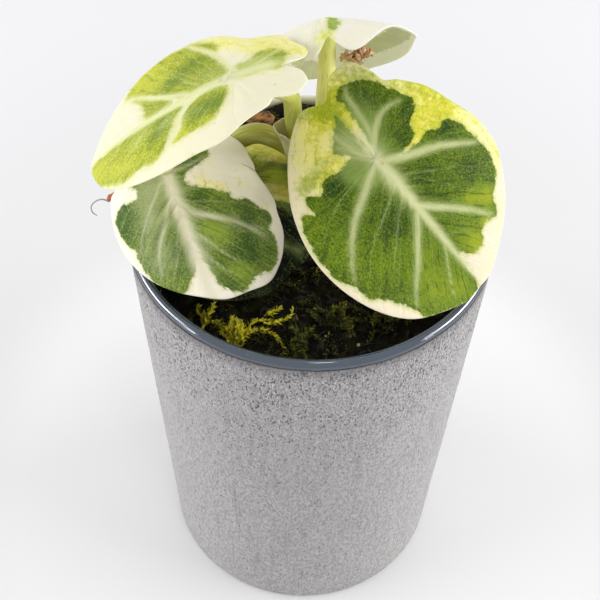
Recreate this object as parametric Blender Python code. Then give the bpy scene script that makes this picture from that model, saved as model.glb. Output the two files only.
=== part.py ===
"""A young alocasia with five variegated leaves, standing in a rough grey cover pot.

The origin is the middle of the pot's underside, +Z is up, and the view of the photograph looks along +Y.
Lengths below are in millimetres and angles in degrees; MM turns them into Blender's metres.
"""
import math

import bmesh
import bpy
import numpy as np
from mathutils import Vector

MM = 0.001
GAP = 0.3                    # clearance between two pieces that touch on the real plant
MERGE = 0.00001              # metres, for closing seams

# Pot: a straight tapered cup with a thin glazed lip above its rough coat
POT_HEIGHT = 126.0
POT_RIM_RADIUS = 46.0
POT_BASE_RADIUS = 39.0
POT_WALL = 2.8
POT_FLOOR = 5.0
POT_FOOT_ROUND = 1.6
POT_COAT = 0.35              # how far the rough coat stands out from the glazed lip
POT_LIP_HEIGHT = 1.9         # glazed band above the coat
POT_COAT_EDGE = 0.3          # bevel where the coat ends
POT_INNER_ROUND = 4.0        # corner between the inside wall and the floor
POT_SEGMENTS = 60

# Potting mix
SOIL_LEVEL = 117.0
SOIL_RINGS = 11
SOIL_SEGMENTS = 52
SOIL_CHAMFER = 4.6           # keeps the mix off the rounded corner inside the pot

# Crown: the short stem that the stalks leave
CROWN_CENTRE = (2.0, 11.5)
CROWN_RADIUS = 6.6
CROWN_BOTTOM = 107.0
CROWN_TOP = 124.0
CROWN_SIDES = 20

# Leaf blades
BLADE_THICKNESS = 0.7
BLADE_RINGS = 5
BLADE_SPOKES = 52

# Each blade: the joint is where its stalk meets it, the heading is the way its midrib points seen from
# above, the pitch is how steeply the midrib falls, and the roll lifts the side left of the midrib.
# Droop is how steeply each half, left then right, falls from the midrib, and dome how far it bends on.
# Bends and twists are in radians over the length from the joint to the tip or to the lobes. Trims move
# the margin where the leaf grew unevenly: an angle, a spread, and a depth inwards as a share of the length.
LEAVES = {
    "upper_left": dict(joint=(-19.5, -1.8, 173.0), heading=-174, pitch=21, roll=14.5, length=42,
                       width=0.56, lobe=0.48, notch=0.19, skew=-0.04, tip_bend=0.52, lobe_bend=0.41,
                       droop=(0.01, 0.13), dome=(0.10, -0.12), twist=(-0.11, -0.03),
                       trims=((-168, 14, 0.063), (-122, 8, -0.035), (-97, 13, 0.066), (-2, 8, 0.045),
                              (22, 12, -0.014), (87, 10, -0.044), (127, 5, 0.038), (141, 7, -0.025),
                              (165, 8, 0.048))),
    "lower_left": dict(joint=(-35.5, -1.3, 143.9), heading=-72, pitch=9, roll=9.5, length=37,
                       width=0.57, lobe=0.54, notch=0.18, skew=0.22, tip_bend=0.51, lobe_bend=1.47,
                       droop=(0.04, 0.09), dome=(0.86, 0.87), twist=(0.07, -0.25), sweep=0.09,
                       bend_reach=0.25,
                       trims=((-3, 7, 0.027), (20, 8, -0.034), (42, 6, 0.010), (74, 7, -0.080),
                              (100, 7, -0.018), (121, 15, -0.081))),
    "right": dict(joint=(13.9, -5.7, 152.8), heading=-39.5, pitch=28, roll=31, length=42,
                  width=0.56, lobe=0.55, notch=0.15, skew=-0.03, tip_bend=0.41, lobe_bend=0.54,
                  droop=(0.06, -0.02), dome=(0.18, -0.25), twist=(-0.38, -0.39),
                  trims=((-20, 9, 0.013), (-1, 6, 0.041), (57, 7, -0.010), (85, 12, 0.017),
                         (118, 8, 0.015), (132, 8, 0.049), (153, 6, -0.026), (-179, 6, -0.019))),
    "back": dict(joint=(1.3, 26.0, 167.4), heading=85, pitch=45.5, roll=-19.5, length=38,
                 width=0.53, lobe=0.50, notch=0.16, skew=-0.02, tip_bend=0.63, lobe_bend=1.28,
                 droop=(0.0, 0.3), dome=(0.46, 0.19), twist=(-0.05, 0.13), trims=((-55, 17, 0.051),)),
    "low": dict(joint=(-19.0, 8.4, 129.4), heading=-95, pitch=8.5, roll=8, length=33.5,
                width=0.52, lobe=0.53, notch=0.17, skew=-0.12, tip_bend=0.32, lobe_bend=0.44,
                droop=(0.14, 0.06), dome=(0.36, 0.23), twist=(-0.19, 0.02),
                trims=((0, 6, 0.025), (22, 14, -0.070), (52, 14, -0.120), (88, 16, -0.015),
                       (122, 12, -0.050), (147, 14, -0.170))),
}
BLADE_DEFAULTS = dict(sweep=0.0, bend_reach=0.5)

# Stalk routes, from the crown to just under each joint, with the radius at either end
STALKS = {
    "upper_left": dict(route=((-1.9, 9.7, 124.3), (-3.4, 11.6, 133.0), (-4.5, 13.0, 140.9),
                              (-5.3, 12.0, 148.0), (-6.0, 8.6, 158.0), (-8.8, 3.8, 164.6),
                              (-14.0, -0.4, 169.0)),
                       radii=(2.1, 2.2)),
    "lower_left": dict(route=((-1.3, 14.3, 124.3), (-3.8, 16.8, 131.0), (-7.5, 17.4, 136.2),
                              (-13.1, 17.4, 139.8), (-17.3, 17.2, 139.2), (-21.0, 15.8, 136.3),
                              (-25.5, 11.6, 133.3), (-30.0, 5.5, 132.6), (-34.0, 1.0, 135.0)),
                       radii=(2.1, 1.9)),
    "right": dict(route=((5.3, 8.7, 124.3), (8.2, 9.4, 132.5), (11.8, 7.6, 140.5), (13.6, 2.4, 146.4)),
                  radii=(2.1, 2.0)),
    "back": dict(route=((3.1, 15.7, 124.3), (2.3, 15.9, 138), (2.1, 16.4, 151.0), (2.3, 18.6, 156.4),
                        (2.3, 22.0, 161.6)),
                 radii=(2.3, 1.9)),
    "low": dict(route=((-4.9, 10.8, 121.7), (-9.5, 9.8, 124.0), (-14.5, 8.9, 125.6)),
                radii=(1.8, 1.6), foot=(-1.0, 0.0, 0.0)),
}
STALK_SIDES = 10
STALK_STEPS = 16

# Loose and dried pieces
SHEATH_THICKNESS = 0.6
SHEATH_FLARE = 2.2
BARK_CENTRE = (-14.3, 36.0)
REMNANT_CENTRE = (9.1, 20.5, 161.4)
MOSS_CLUMPS = ((-18.0, -29.4, 5.2, 3.4, 20), (-8.4, -24.4, 5.2, 3.2, -35), (-26.0, -26.9, 4.2, 2.6, 50),
               (6.0, -26.6, 4.4, 2.8, 10), (15.5, -20.6, 4.2, 2.8, -50), (-2.6, -35.2, 4.2, 2.6, 80))



def clear_scene():
    """Start from an empty scene."""
    for item in list(bpy.data.objects):
        bpy.data.objects.remove(item, do_unlink=True)


def make_material(name, colour, roughness, metallic=0.0):
    """One Principled material for one piece."""
    material = bpy.data.materials.new(name)
    material.use_nodes = True
    shader = material.node_tree.nodes["Principled BSDF"]
    shader.inputs["Base Color"].default_value = (*colour, 1.0)
    shader.inputs["Roughness"].default_value = roughness
    shader.inputs["Metallic"].default_value = metallic
    return material


def add_mesh(name, points, faces, material, smooth=True):
    """Put a mesh given in millimetres into the scene, with its faces turned outwards."""
    shell = bmesh.new()
    corners = [shell.verts.new(Vector(point) * MM) for point in points]
    for face in faces:
        shell.faces.new([corners[index] for index in face])
    bmesh.ops.remove_doubles(shell, verts=shell.verts, dist=MERGE)
    bmesh.ops.recalc_face_normals(shell, faces=shell.faces)
    mesh = bpy.data.meshes.new(name)
    shell.to_mesh(mesh)
    shell.free()
    mesh.materials.append(material)
    if smooth:
        mesh.shade_smooth()
        mesh.set_sharp_from_angle(angle=math.radians(40))
    item = bpy.data.objects.new(name, mesh)
    bpy.context.scene.collection.objects.link(item)
    return item


def arc(centre, radius, start, end, steps):
    """Points on an arc in the radius-height plane, with both ends."""
    angles = np.radians(np.linspace(start, end, steps + 1))
    return [(centre[0] + radius * math.cos(a), centre[1] + radius * math.sin(a)) for a in angles]


def turned(name, profile, segments, material):
    """Spin a profile of radius and height once around +Z."""
    shell = bmesh.new()
    corners = [shell.verts.new((radius * MM, 0.0, height * MM)) for radius, height in profile]
    edges = [shell.edges.new(pair) for pair in zip(corners, corners[1:])]
    bmesh.ops.spin(shell, geom=corners + edges, cent=(0, 0, 0), axis=(0, 0, 1),
                   angle=math.tau, steps=segments, use_merge=True)
    bmesh.ops.remove_doubles(shell, verts=shell.verts, dist=MERGE)
    bmesh.ops.recalc_face_normals(shell, faces=shell.faces)
    mesh = bpy.data.meshes.new(name)
    shell.to_mesh(mesh)
    shell.free()
    mesh.materials.append(material)
    mesh.shade_smooth()
    mesh.set_sharp_from_angle(angle=math.radians(40))
    item = bpy.data.objects.new(name, mesh)
    bpy.context.scene.collection.objects.link(item)
    return item


def outer_radius(height):
    """Radius of the pot's coat at a height."""
    return POT_BASE_RADIUS + (POT_RIM_RADIUS - POT_BASE_RADIUS) * height / POT_HEIGHT


def inner_radius(height):
    """Radius of the pot's inside at a height."""
    return outer_radius(height) - POT_WALL


def make_pot():
    """The cup: flat underside, rounded foot, rough coat, a step at the lip and a round glazed edge."""
    lip_radius = (POT_WALL - POT_COAT) / 2
    lip_centre = (POT_RIM_RADIUS - POT_COAT - lip_radius, POT_HEIGHT - lip_radius)
    coat_top = POT_HEIGHT - POT_LIP_HEIGHT
    profile = [(0.0, 0.0)]
    profile += arc((outer_radius(0) - POT_FOOT_ROUND, POT_FOOT_ROUND), POT_FOOT_ROUND, -90, 0, 4)
    profile += [(outer_radius(h), h) for h in (POT_HEIGHT / 3, POT_HEIGHT * 2 / 3, coat_top - POT_COAT_EDGE)]
    profile += [(outer_radius(coat_top) - POT_COAT, coat_top)]
    profile += arc(lip_centre, lip_radius, 0, 180, 8)
    profile += [(inner_radius(h), h) for h in (POT_HEIGHT - 11.0, POT_HEIGHT / 2)]
    corner = POT_FLOOR + POT_INNER_ROUND
    profile += arc((inner_radius(corner) - POT_INNER_ROUND, corner), POT_INNER_ROUND, 0, -90, 3)
    profile += [(0.0, POT_FLOOR)]
    material = make_material("rough_grey_ceramic", (0.30, 0.30, 0.31), 0.85)
    return turned("cover_pot", profile, POT_SEGMENTS, material)


def soil_height(x, y):
    """Top of the mix: level, heaped around the crown and at the back, with low lumps."""
    crown_heap = 2.0 * np.exp(-((x - 2.0) ** 2 + (y - 11.5) ** 2) / 120.0)
    back_heap = 3.6 * np.exp(-((x + 12.0) ** 2 + (y - 34.0) ** 2) / 160.0)
    lumps = 0.45 * np.sin(0.42 * x + 1.0) * np.cos(0.38 * y) + 0.35 * np.sin(0.55 * x - 0.47 * y + 2.0)
    return SOIL_LEVEL + crown_heap + back_heap + lumps


def make_soil():
    """The mix fills the pot to just under its lip, and the crown stands in a plain hole in it."""
    angles = np.linspace(0, math.tau, SOIL_SEGMENTS, endpoint=False)
    points = [(0.0, 0.0, float(soil_height(0.0, 0.0)))]
    for ring in range(1, SOIL_RINGS + 1):
        radius = (inner_radius(SOIL_LEVEL) - GAP) * ring / SOIL_RINGS
        x = radius * np.cos(angles)
        y = radius * np.sin(angles)
        points += [tuple(map(float, p)) for p in zip(x, y, soil_height(x, y))]
    bottom = POT_FLOOR + GAP
    for height, inset in ((bottom + SOIL_CHAMFER, GAP), (bottom, GAP + SOIL_CHAMFER)):
        radius = inner_radius(height) - inset
        points += [(radius * math.cos(a), radius * math.sin(a), height) for a in angles]
    points.append((0.0, 0.0, bottom))
    rings = SOIL_RINGS + 2
    faces = ring_faces(rings, SOIL_SEGMENTS, 0, len(points) - 1)
    material = make_material("dark_potting_mix", (0.035, 0.028, 0.018), 0.95)
    soil = add_mesh("potting_mix", points, faces, material)
    hole = cylinder(CROWN_CENTRE, CROWN_RADIUS + GAP, CROWN_BOTTOM - GAP, POT_HEIGHT, CROWN_SIDES)
    cutter = add_mesh("crown_hole", *hole, material)
    cutter.hide_render = True
    cutter.display_type = "WIRE"
    cut = soil.modifiers.new("crown_hole", "BOOLEAN")
    cut.operation = "DIFFERENCE"
    cut.object = cutter
    return soil


def ring_faces(rings, segments, first, last):
    """Triangles of a capped stack of rings: one point, the rings in order, and one point."""
    faces = []
    for k in range(segments):
        nxt = (k + 1) % segments
        faces.append((first, 1 + k, 1 + nxt))
        for ring in range(rings - 1):
            a, b = 1 + ring * segments, 1 + (ring + 1) * segments
            faces.append((a + k, b + k, b + nxt))
            faces.append((a + k, b + nxt, a + nxt))
        tail = 1 + (rings - 1) * segments
        faces.append((last, tail + nxt, tail + k))
    return faces


def cylinder(centre, radius, bottom, top, sides):
    """A plain upright cylinder as points and faces."""
    angles = np.linspace(0, math.tau, sides, endpoint=False)
    points = [(centre[0], centre[1], bottom)]
    for height in (bottom, top):
        points += [(centre[0] + radius * math.cos(a), centre[1] + radius * math.sin(a), height)
                   for a in angles]
    points.append((centre[0], centre[1], top))
    return points, ring_faces(2, sides, 0, len(points) - 1)


def make_crown():
    """The crown: a short ribbed stump with a low domed top."""
    heights = (0.0, 0.06, 0.55, 0.85, 0.97, 1.0)
    widths = (0.82, 0.95, 1.0, 0.98, 0.92, 0.80)
    angles = np.linspace(0, math.tau, CROWN_SIDES, endpoint=False)
    points = [(CROWN_CENTRE[0], CROWN_CENTRE[1], CROWN_BOTTOM)]
    for share, width in zip(heights, widths):
        radius = CROWN_RADIUS * width * (1.0 - 0.04 * (1 + np.cos(4 * angles)) * share)
        height = CROWN_BOTTOM + (CROWN_TOP - CROWN_BOTTOM) * share
        points += [(CROWN_CENTRE[0] + r * math.cos(a), CROWN_CENTRE[1] + r * math.sin(a), height)
                   for r, a in zip(radius, angles)]
    points.append((CROWN_CENTRE[0], CROWN_CENTRE[1], CROWN_TOP))
    faces = ring_faces(len(heights), CROWN_SIDES, 0, len(points) - 1)
    return add_mesh("crown", points, faces, make_material("crown_sheaths", (0.30, 0.34, 0.12), 0.6))


def blade_outline(angle, leaf):
    """Radius of the heart-shaped blade, as a share of its length, at an angle from the tip's direction.

    A cosine series gives the egg shape, a square of the sine sets its width, one bump makes the tip and
    one dip makes the notch between the lobes. The trims are low bumps and dips of the margin.
    """
    a = np.abs(np.arctan2(np.sin(angle), np.cos(angle)))
    radius = 0.665 + 0.215 * np.cos(a) + 0.075 * np.cos(2 * a) - 0.02 * np.cos(3 * a)
    radius = radius * (1 + (leaf["width"] / 0.59 - 1) * np.sin(a) ** 2)
    radius = radius + (leaf["lobe"] - 0.525) * np.clip(-np.cos(a), 0, 1) ** 2
    radius = radius - leaf["notch"] * np.exp(-((np.pi - a) / 0.17) ** 2)
    radius = radius + 0.05 * np.exp(-(a / 0.16) ** 2)
    radius = radius * (1 + leaf["skew"] * np.sin(angle))
    for place, spread, depth in leaf["trims"]:
        apart = np.angle(np.exp(1j * (angle - math.radians(place))))
        radius = radius - depth * np.exp(-(apart / math.radians(spread)) ** 2)
    return radius


def bent(distance, start, rate):
    """Where a strip of even bend ends: it leaves at the start angle and turns down at the rate."""
    rate = np.where(np.abs(rate) < 1e-6, 1e-6, rate)
    across = (np.sin(start + rate * distance) - np.sin(start)) / rate
    drop = (np.cos(start + rate * distance) - np.cos(start)) / rate
    return across, drop


def leaf_axes(leaf):
    """The way the midrib points, the way left of it, and the way out of the upper face."""
    heading, pitch, roll = np.radians([leaf["heading"], leaf["pitch"], leaf["roll"]])
    along = np.array([math.cos(heading) * math.cos(pitch), math.sin(heading) * math.cos(pitch),
                      -math.sin(pitch)])
    left = np.array([-math.sin(heading), math.cos(heading), 0.0])
    up = np.cross(along, left)
    return (along, math.cos(roll) * left + math.sin(roll) * up,
            -math.sin(roll) * left + math.cos(roll) * up)


def blade_surface(leaf, share, angle):
    """Points of the blade's middle sheet, at a share of the outline's radius and an angle.

    The flat outline is bent across the midrib, twisted about it and bent along it, then turned to its
    place. Each step is a formula on whole arrays.
    """
    length = leaf["length"]
    radius = blade_outline(angle, leaf) * length * share
    x = radius * np.cos(angle)
    y = radius * np.sin(angle)
    is_left = y >= 0
    is_front = x >= 0
    droop = np.where(is_left, leaf["droop"][0], leaf["droop"][1])
    dome = np.where(is_left, leaf["dome"][0], leaf["dome"][1]) / (leaf["width"] * length)
    across, rise = bent(np.abs(y), droop, dome)
    across = across * np.sign(y)
    turn = np.where(is_front, leaf["twist"][0] * x / length, leaf["twist"][1] * x / (0.5 * length))
    side = across * np.cos(turn) - rise * np.sin(turn)
    rise = across * np.sin(turn) + rise * np.cos(turn)
    rate = np.where(is_front, leaf["tip_bend"] / length, leaf["lobe_bend"] / (0.5 * length))
    reach = np.where(is_front, np.abs(x), np.minimum(np.abs(x), leaf["bend_reach"] * length))
    ahead, drop = bent(reach, 0.0, rate)
    rest = np.abs(x) - reach
    ahead = (ahead + rest * np.cos(rate * reach)) * np.sign(x)
    drop = drop - rest * np.sin(rate * reach)
    slope = rate * reach * np.sign(x)
    side = side + leaf["sweep"] * length * (np.clip(x, 0, None) / length) ** 2
    along, left, up = leaf_axes(leaf)
    local = (ahead + rise * np.sin(slope), side, drop + rise * np.cos(slope))
    joint = np.array(leaf["joint"])
    return joint + sum(part[..., None] * axis for part, axis in zip(local, (along, left, up)))


def make_leaf(name, leaf, colour):
    """One blade: a fan of triangles around the joint and rings out to the margin, given its thickness."""
    shares = np.linspace(0, 1, BLADE_RINGS + 1)[1:]
    angles = np.linspace(-math.pi, math.pi, BLADE_SPOKES, endpoint=False)
    grid_share, grid_angle = np.meshgrid(shares, angles, indexing="ij")
    grid = blade_surface(leaf, grid_share, grid_angle).reshape(-1, 3)
    points = np.vstack([blade_surface(leaf, np.zeros(1), np.zeros(1)), grid])
    faces = []
    for k in range(BLADE_SPOKES):
        nxt = (k + 1) % BLADE_SPOKES
        faces.append((0, 1 + k, 1 + nxt))
        for ring in range(BLADE_RINGS - 1):
            a, b = 1 + ring * BLADE_SPOKES, 1 + (ring + 1) * BLADE_SPOKES
            faces.append((a + k, b + k, b + nxt))
            faces.append((a + k, b + nxt, a + nxt))
    mesh = bpy.data.meshes.new(name)
    mesh.from_pydata([tuple(p) for p in points * MM], [], faces)
    mesh.materials.append(make_material(name + "_blade", colour, 0.5))
    mesh.shade_smooth()
    item = bpy.data.objects.new(name, mesh)
    bpy.context.scene.collection.objects.link(item)
    skin = item.modifiers.new("thickness", "SOLIDIFY")
    skin.thickness = BLADE_THICKNESS * MM
    skin.offset = 0.0
    return item


def smooth_route(points, steps):
    """Points read evenly from a Catmull-Rom curve through the route's own points."""
    route = np.array(points, float)
    padded = np.vstack([2 * route[0] - route[1], route, 2 * route[-1] - route[-2]])
    where = np.linspace(0, len(route) - 1, steps + 1)
    index = np.minimum(where.astype(int), len(route) - 2)
    t = (where - index)[:, None]
    p0, p1, p2, p3 = (padded[index + k] for k in range(4))
    return 0.5 * (2 * p1 + (p2 - p0) * t + (2 * p0 - 5 * p1 + 4 * p2 - p3) * t ** 2
                  + (3 * p1 - p0 - 3 * p2 + p3) * t ** 3)


def tube_points(route, radii, sides, first_normal=None, last_normal=None):
    """Rings along a route; the end rings can be turned to lie flat against what they meet."""
    tangents = np.gradient(route, axis=0)
    if first_normal is not None:
        tangents[0] = first_normal
    if last_normal is not None:
        tangents[-1] = last_normal
    tangents /= np.linalg.norm(tangents, axis=1)[:, None]
    angles = np.linspace(0, math.tau, sides, endpoint=False)
    reference = np.array([0.2, 1.0, 0.1])
    points = [tuple(route[0])]
    for centre, tangent, radius in zip(route, tangents, radii):
        u = np.cross(reference, tangent)
        u /= np.linalg.norm(u)
        v = np.cross(tangent, u)
        points += [tuple(centre + radius * (math.cos(a) * u + math.sin(a) * v)) for a in angles]
    points.append(tuple(route[-1]))
    return points, ring_faces(len(route), sides, 0, len(points) - 1)


def make_stalk(name, stalk, leaf, colour):
    """One petiole: a round tube from the crown that ends flat under the blade's joint."""
    up = leaf_axes(leaf)[2]
    joint = np.array(leaf["joint"])
    radius = stalk["radii"][1]
    fall = radius * math.sin(max(leaf["droop"])) + radius ** 2 / leaf["length"] * max(1.0, leaf["lobe_bend"])
    seat = BLADE_THICKNESS / 2 + GAP + fall
    end = [tuple(joint - (seat + 2.6) * up), tuple(joint - seat * up)]
    route = smooth_route(list(stalk["route"]) + end, STALK_STEPS)
    radii = np.linspace(*stalk["radii"], len(route))
    first = stalk.get("foot", (0.0, 0.0, 1.0))
    points, faces = tube_points(route, radii, STALK_SIDES, first, up)
    return add_mesh(name, points, faces, make_material(name + "_skin", colour, 0.45))


def make_sheath():
    """The papery sheath: a thin open cone around the upper left stalk, torn open on its right."""
    stalk = STALKS["upper_left"]
    route = smooth_route(stalk["route"], 24)[3:13]
    angles = np.radians(np.linspace(112, 262, 9))
    outer = []
    inner = []
    for k, centre in enumerate(route):
        share = k / (len(route) - 1)
        flare = SHEATH_FLARE * share ** 2 * (0.55 + 0.45 * np.cos(angles - math.pi))
        spread = stalk["radii"][1] + GAP + 0.1 + flare
        for radius, wall in ((spread + SHEATH_THICKNESS, outer), (spread, inner)):
            height = centre[2] - 1.6 * share * np.cos(2 * (angles - math.pi)) * share
            wall.append(np.stack([centre[0] + radius * np.cos(angles), centre[1] + radius * np.sin(angles),
                                  height], axis=-1))
    rows = len(route)
    columns = len(angles)
    points = [tuple(p) for p in np.array(outer + inner).reshape(-1, 3)]
    faces = sheet_faces(rows, columns)
    return add_mesh("papery_sheath", points, faces, make_material("dry_sheath", (0.72, 0.70, 0.52), 0.6))


def sheet_faces(rows, columns):
    """Triangles of a curved plate: its outer wall, its inner wall and the edge around them."""
    half = rows * columns
    faces = []
    for i in range(rows - 1):
        for j in range(columns - 1):
            a, b = i * columns + j, i * columns + j + 1
            c, d = a + columns, b + columns
            faces += [(a, b, d), (a, d, c), (half + a, half + d, half + b), (half + a, half + c, half + d)]
    border = [j for j in range(columns)]
    border += [i * columns + columns - 1 for i in range(1, rows)]
    border += [(rows - 1) * columns + j for j in range(columns - 2, -1, -1)]
    border += [i * columns for i in range(rows - 2, 0, -1)]
    for a, b in zip(border, border[1:] + border[:1]):
        faces += [(b, a, half + a), (b, half + a, half + b)]
    return faces


def lump(name, centre, size, turn, material, bumps=0.18, floor=None):
    """A small crumbled lump: a ball pushed in and out by a formula, scaled, turned and set down.

    Where a floor is given, its underside follows that surface with a small clearance.
    """
    shell = bmesh.new()
    bmesh.ops.create_icosphere(shell, subdivisions=2, radius=1.0)
    cos_turn, sin_turn = math.cos(math.radians(turn)), math.sin(math.radians(turn))
    for corner in shell.verts:
        x, y, z = corner.co
        push = 1 + bumps * math.sin(4.1 * x + 2.3 * y + turn) * math.cos(3.7 * y - 2.9 * z + 1.3)
        x, y, z = x * push * size[0], y * push * size[1], z * push * size[2]
        x, y = x * cos_turn - y * sin_turn, x * sin_turn + y * cos_turn
        place = Vector((centre[0] + x, centre[1] + y, centre[2] + z))
        if floor is not None:
            place.z = max(place.z, float(floor(place.x, place.y)) + GAP + 0.15)
        corner.co = place * MM
    bmesh.ops.recalc_face_normals(shell, faces=shell.faces)
    mesh = bpy.data.meshes.new(name)
    shell.to_mesh(mesh)
    shell.free()
    mesh.materials.append(material)
    item = bpy.data.objects.new(name, mesh)
    bpy.context.scene.collection.objects.link(item)
    return item


def make_dry_edge():
    """The browned edge on the lower left blade, and the dry fibre that curls from it."""
    leaf = {**BLADE_DEFAULTS, **LEAVES["lower_left"]}
    edge = blade_surface(leaf, np.array([1.0]), np.radians([-97.0]))[0]
    inner = blade_surface(leaf, np.array([0.9]), np.radians([-97.0]))[0]
    out = (edge - inner) / np.linalg.norm(edge - inner)
    brown = make_material("browned_edge", (0.42, 0.16, 0.06), 0.7)
    start = edge + (GAP + 0.75) * out
    tip_route = smooth_route([start, start + 1.2 * out + np.array([0, 0, 0.2]),
                              start + 2.4 * out + np.array([0, -0.3, -0.3])], 5)
    points, faces = tube_points(tip_route, (0.9, 1.05, 1.0, 0.85, 0.6, 0.4), 8)
    add_mesh("browned_tip", points, faces, brown)
    fibre_start = tip_route[-1] + np.array([-0.7, 0.0, 0.0])
    bends = ((0, 0, 0), (-1.6, 0.3, 0.3), (-3.2, 0.1, -0.6), (-3.6, -0.6, -2.2), (-2.6, -1.0, -3.1))
    fibre_route = smooth_route([fibre_start + np.array(bend) for bend in bends], 12)
    points, faces = tube_points(fibre_route, np.linspace(0.35, 0.3, 13), 6)
    add_mesh("dry_fibre", points, faces, make_material("dry_fibre_skin", (0.45, 0.42, 0.38), 0.7))


def make_loose_pieces():
    """The bark chip, the dried remnant beside the back stalk and the moss clumps."""
    bark = make_material("bark", (0.20, 0.07, 0.03), 0.8)
    x, y = BARK_CENTRE
    lump("bark_chip", (x, y, float(soil_height(x, y)) + 2.2), (3.6, 2.2, 1.9), 12, bark, 0.10, soil_height)
    remnant = make_material("dry_remnant", (0.55, 0.34, 0.17), 0.8)
    lump("dry_remnant", REMNANT_CENTRE, (4.4, 2.2, 2.7), -6, remnant, 0.16)
    moss = make_material("moss", (0.30, 0.32, 0.03), 0.9)
    for number, (x, y, long, wide, turn) in enumerate(MOSS_CLUMPS, start=1):
        height = float(soil_height(x, y)) + 0.9
        lump("moss_clump_%d" % number, (x, y, height), (long, wide, 1.7), turn, moss, 0.16, soil_height)


BLADE_COLOURS = {"upper_left": (0.55, 0.58, 0.25), "lower_left": (0.36, 0.44, 0.25),
                 "right": (0.20, 0.34, 0.08), "back": (0.75, 0.74, 0.60), "low": (0.08, 0.16, 0.04)}
STALK_COLOUR = (0.42, 0.50, 0.16)


def main():
    """Build every piece of the plant and its pot."""
    clear_scene()
    make_pot()
    make_soil()
    make_crown()
    for side, leaf in LEAVES.items():
        leaf = {**BLADE_DEFAULTS, **leaf}
        make_leaf("leaf_" + side, leaf, BLADE_COLOURS[side])
        make_stalk("stalk_" + side, STALKS[side], leaf, STALK_COLOUR)
    make_sheath()
    make_dry_edge()
    make_loose_pieces()


main()
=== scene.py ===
# %% [markdown]
# # A variegated alocasia in a rough grey cover pot
#
# The solids of this plant are already made and packed. This lesson dresses them: each solid gets a finer
# surface on the same formula, and a finish of its own. Every piece sits at the origin with its place in its
# mesh, in metres, with +Z up and the pot's underside at zero. Lengths below are in millimetres.

# %% Load the fixed frame
import math
from types import SimpleNamespace

import bpy
import numpy as np
from mathutils import Matrix


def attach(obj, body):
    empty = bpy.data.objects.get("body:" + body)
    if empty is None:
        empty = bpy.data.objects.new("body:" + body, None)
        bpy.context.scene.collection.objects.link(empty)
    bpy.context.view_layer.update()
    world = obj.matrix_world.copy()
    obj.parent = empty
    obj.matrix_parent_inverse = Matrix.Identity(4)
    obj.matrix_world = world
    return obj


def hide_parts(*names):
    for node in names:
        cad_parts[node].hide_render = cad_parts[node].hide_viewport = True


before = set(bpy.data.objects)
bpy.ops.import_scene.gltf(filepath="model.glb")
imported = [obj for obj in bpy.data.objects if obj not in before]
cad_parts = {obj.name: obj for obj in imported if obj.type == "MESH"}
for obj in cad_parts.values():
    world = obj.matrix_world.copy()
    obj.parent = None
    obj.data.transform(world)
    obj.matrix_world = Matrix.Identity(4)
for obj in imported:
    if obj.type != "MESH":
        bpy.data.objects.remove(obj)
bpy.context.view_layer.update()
MM = 0.001
print("solids:", len(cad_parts), "nodes")

# %% [markdown]
# ## Meshes from whole arrays
#
# A mesh is only a list of points and a list of faces. Modelling by hand with the mouse would work, but a leaf
# or a pot wall is a surface that a formula describes, so numpy works out all of its points at once. Most
# pieces here share one layout: a first pole, rows of points that close on themselves, and a last pole. A pot,
# a leaf blade, a stalk and a moss leaflet all fit it, and it leaves no open seam.

# %% One layout for every closed form


def closed_faces(rows, columns):
    """Faces of one pole, some rows of columns that close on themselves, and another pole, facing outwards."""
    ring = 1 + np.arange(rows * columns).reshape(rows, columns)
    beside = np.roll(ring, -1, axis=1)
    quads = np.stack([ring[:-1], beside[:-1], beside[1:], ring[1:]], axis=-1).reshape(-1, 4)
    first = np.stack([np.zeros(columns, int), beside[0], ring[0]], axis=-1)
    last = np.stack([np.full(columns, rows * columns + 1), ring[-1], beside[-1]], axis=-1)
    return [quads, np.vstack([first, last])]


def closed_points(first, grid, last):
    """The points of that layout, from two poles and a grid of rows, columns and coordinates."""
    return np.vstack([np.reshape(first, (1, 3)), np.reshape(grid, (-1, 3)), np.reshape(last, (1, 3))])


def make_piece(name, points, faces, fields=None, smooth=True):
    """Put points in millimetres and arrays of faces into a new mesh, with named values for its finish."""
    mesh = bpy.data.meshes.new(name)
    corners = np.concatenate([part.ravel() for part in faces])
    sizes = np.concatenate([np.full(len(part), part.shape[1]) for part in faces])
    mesh.vertices.add(len(points))
    mesh.vertices.foreach_set("co", (points * MM).astype(np.float32).ravel())
    mesh.loops.add(len(corners))
    mesh.loops.foreach_set("vertex_index", corners.astype(np.int32))
    mesh.polygons.add(len(sizes))
    mesh.polygons.foreach_set("loop_start", (np.cumsum(sizes) - sizes).astype(np.int32))
    mesh.polygons.foreach_set("use_smooth", np.full(len(sizes), smooth))
    mesh.update(calc_edges=True)
    for field, values in (fields or {}).items():
        values = np.asarray(values, np.float32)
        if values.ndim == 2:
            mesh.attributes.new(field, "FLOAT_VECTOR", "POINT").data.foreach_set("vector", values.ravel())
        else:
            mesh.attributes.new(field, "FLOAT", "POINT").data.foreach_set("value", values)
    item = bpy.data.objects.new(name, mesh)
    bpy.context.scene.collection.objects.link(item)
    print(name, len(points), "points,", int((sizes - 2).sum()), "triangles")
    return item


def dress(item, finish, slot, *nodes):
    """Give a piece its finish, tie it to the plant's one body and let it stand for its solids."""
    item.data.materials.append(finish.material)
    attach(item, "root")
    if nodes:
        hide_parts(*nodes)
    print(item.name, "wears", finish.material.name)


# %% [markdown]
# Real surfaces are never quite even. A hand sculptor would push them about with a brush. Here a smooth
# random height does it: space is cut into cells, each cell corner gets a fixed number from its whole
# coordinates, and a point blends the eight corners around it. The same place always gets the same height,
# so the plant comes out the same on every run.

# %% Smooth random heights

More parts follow.
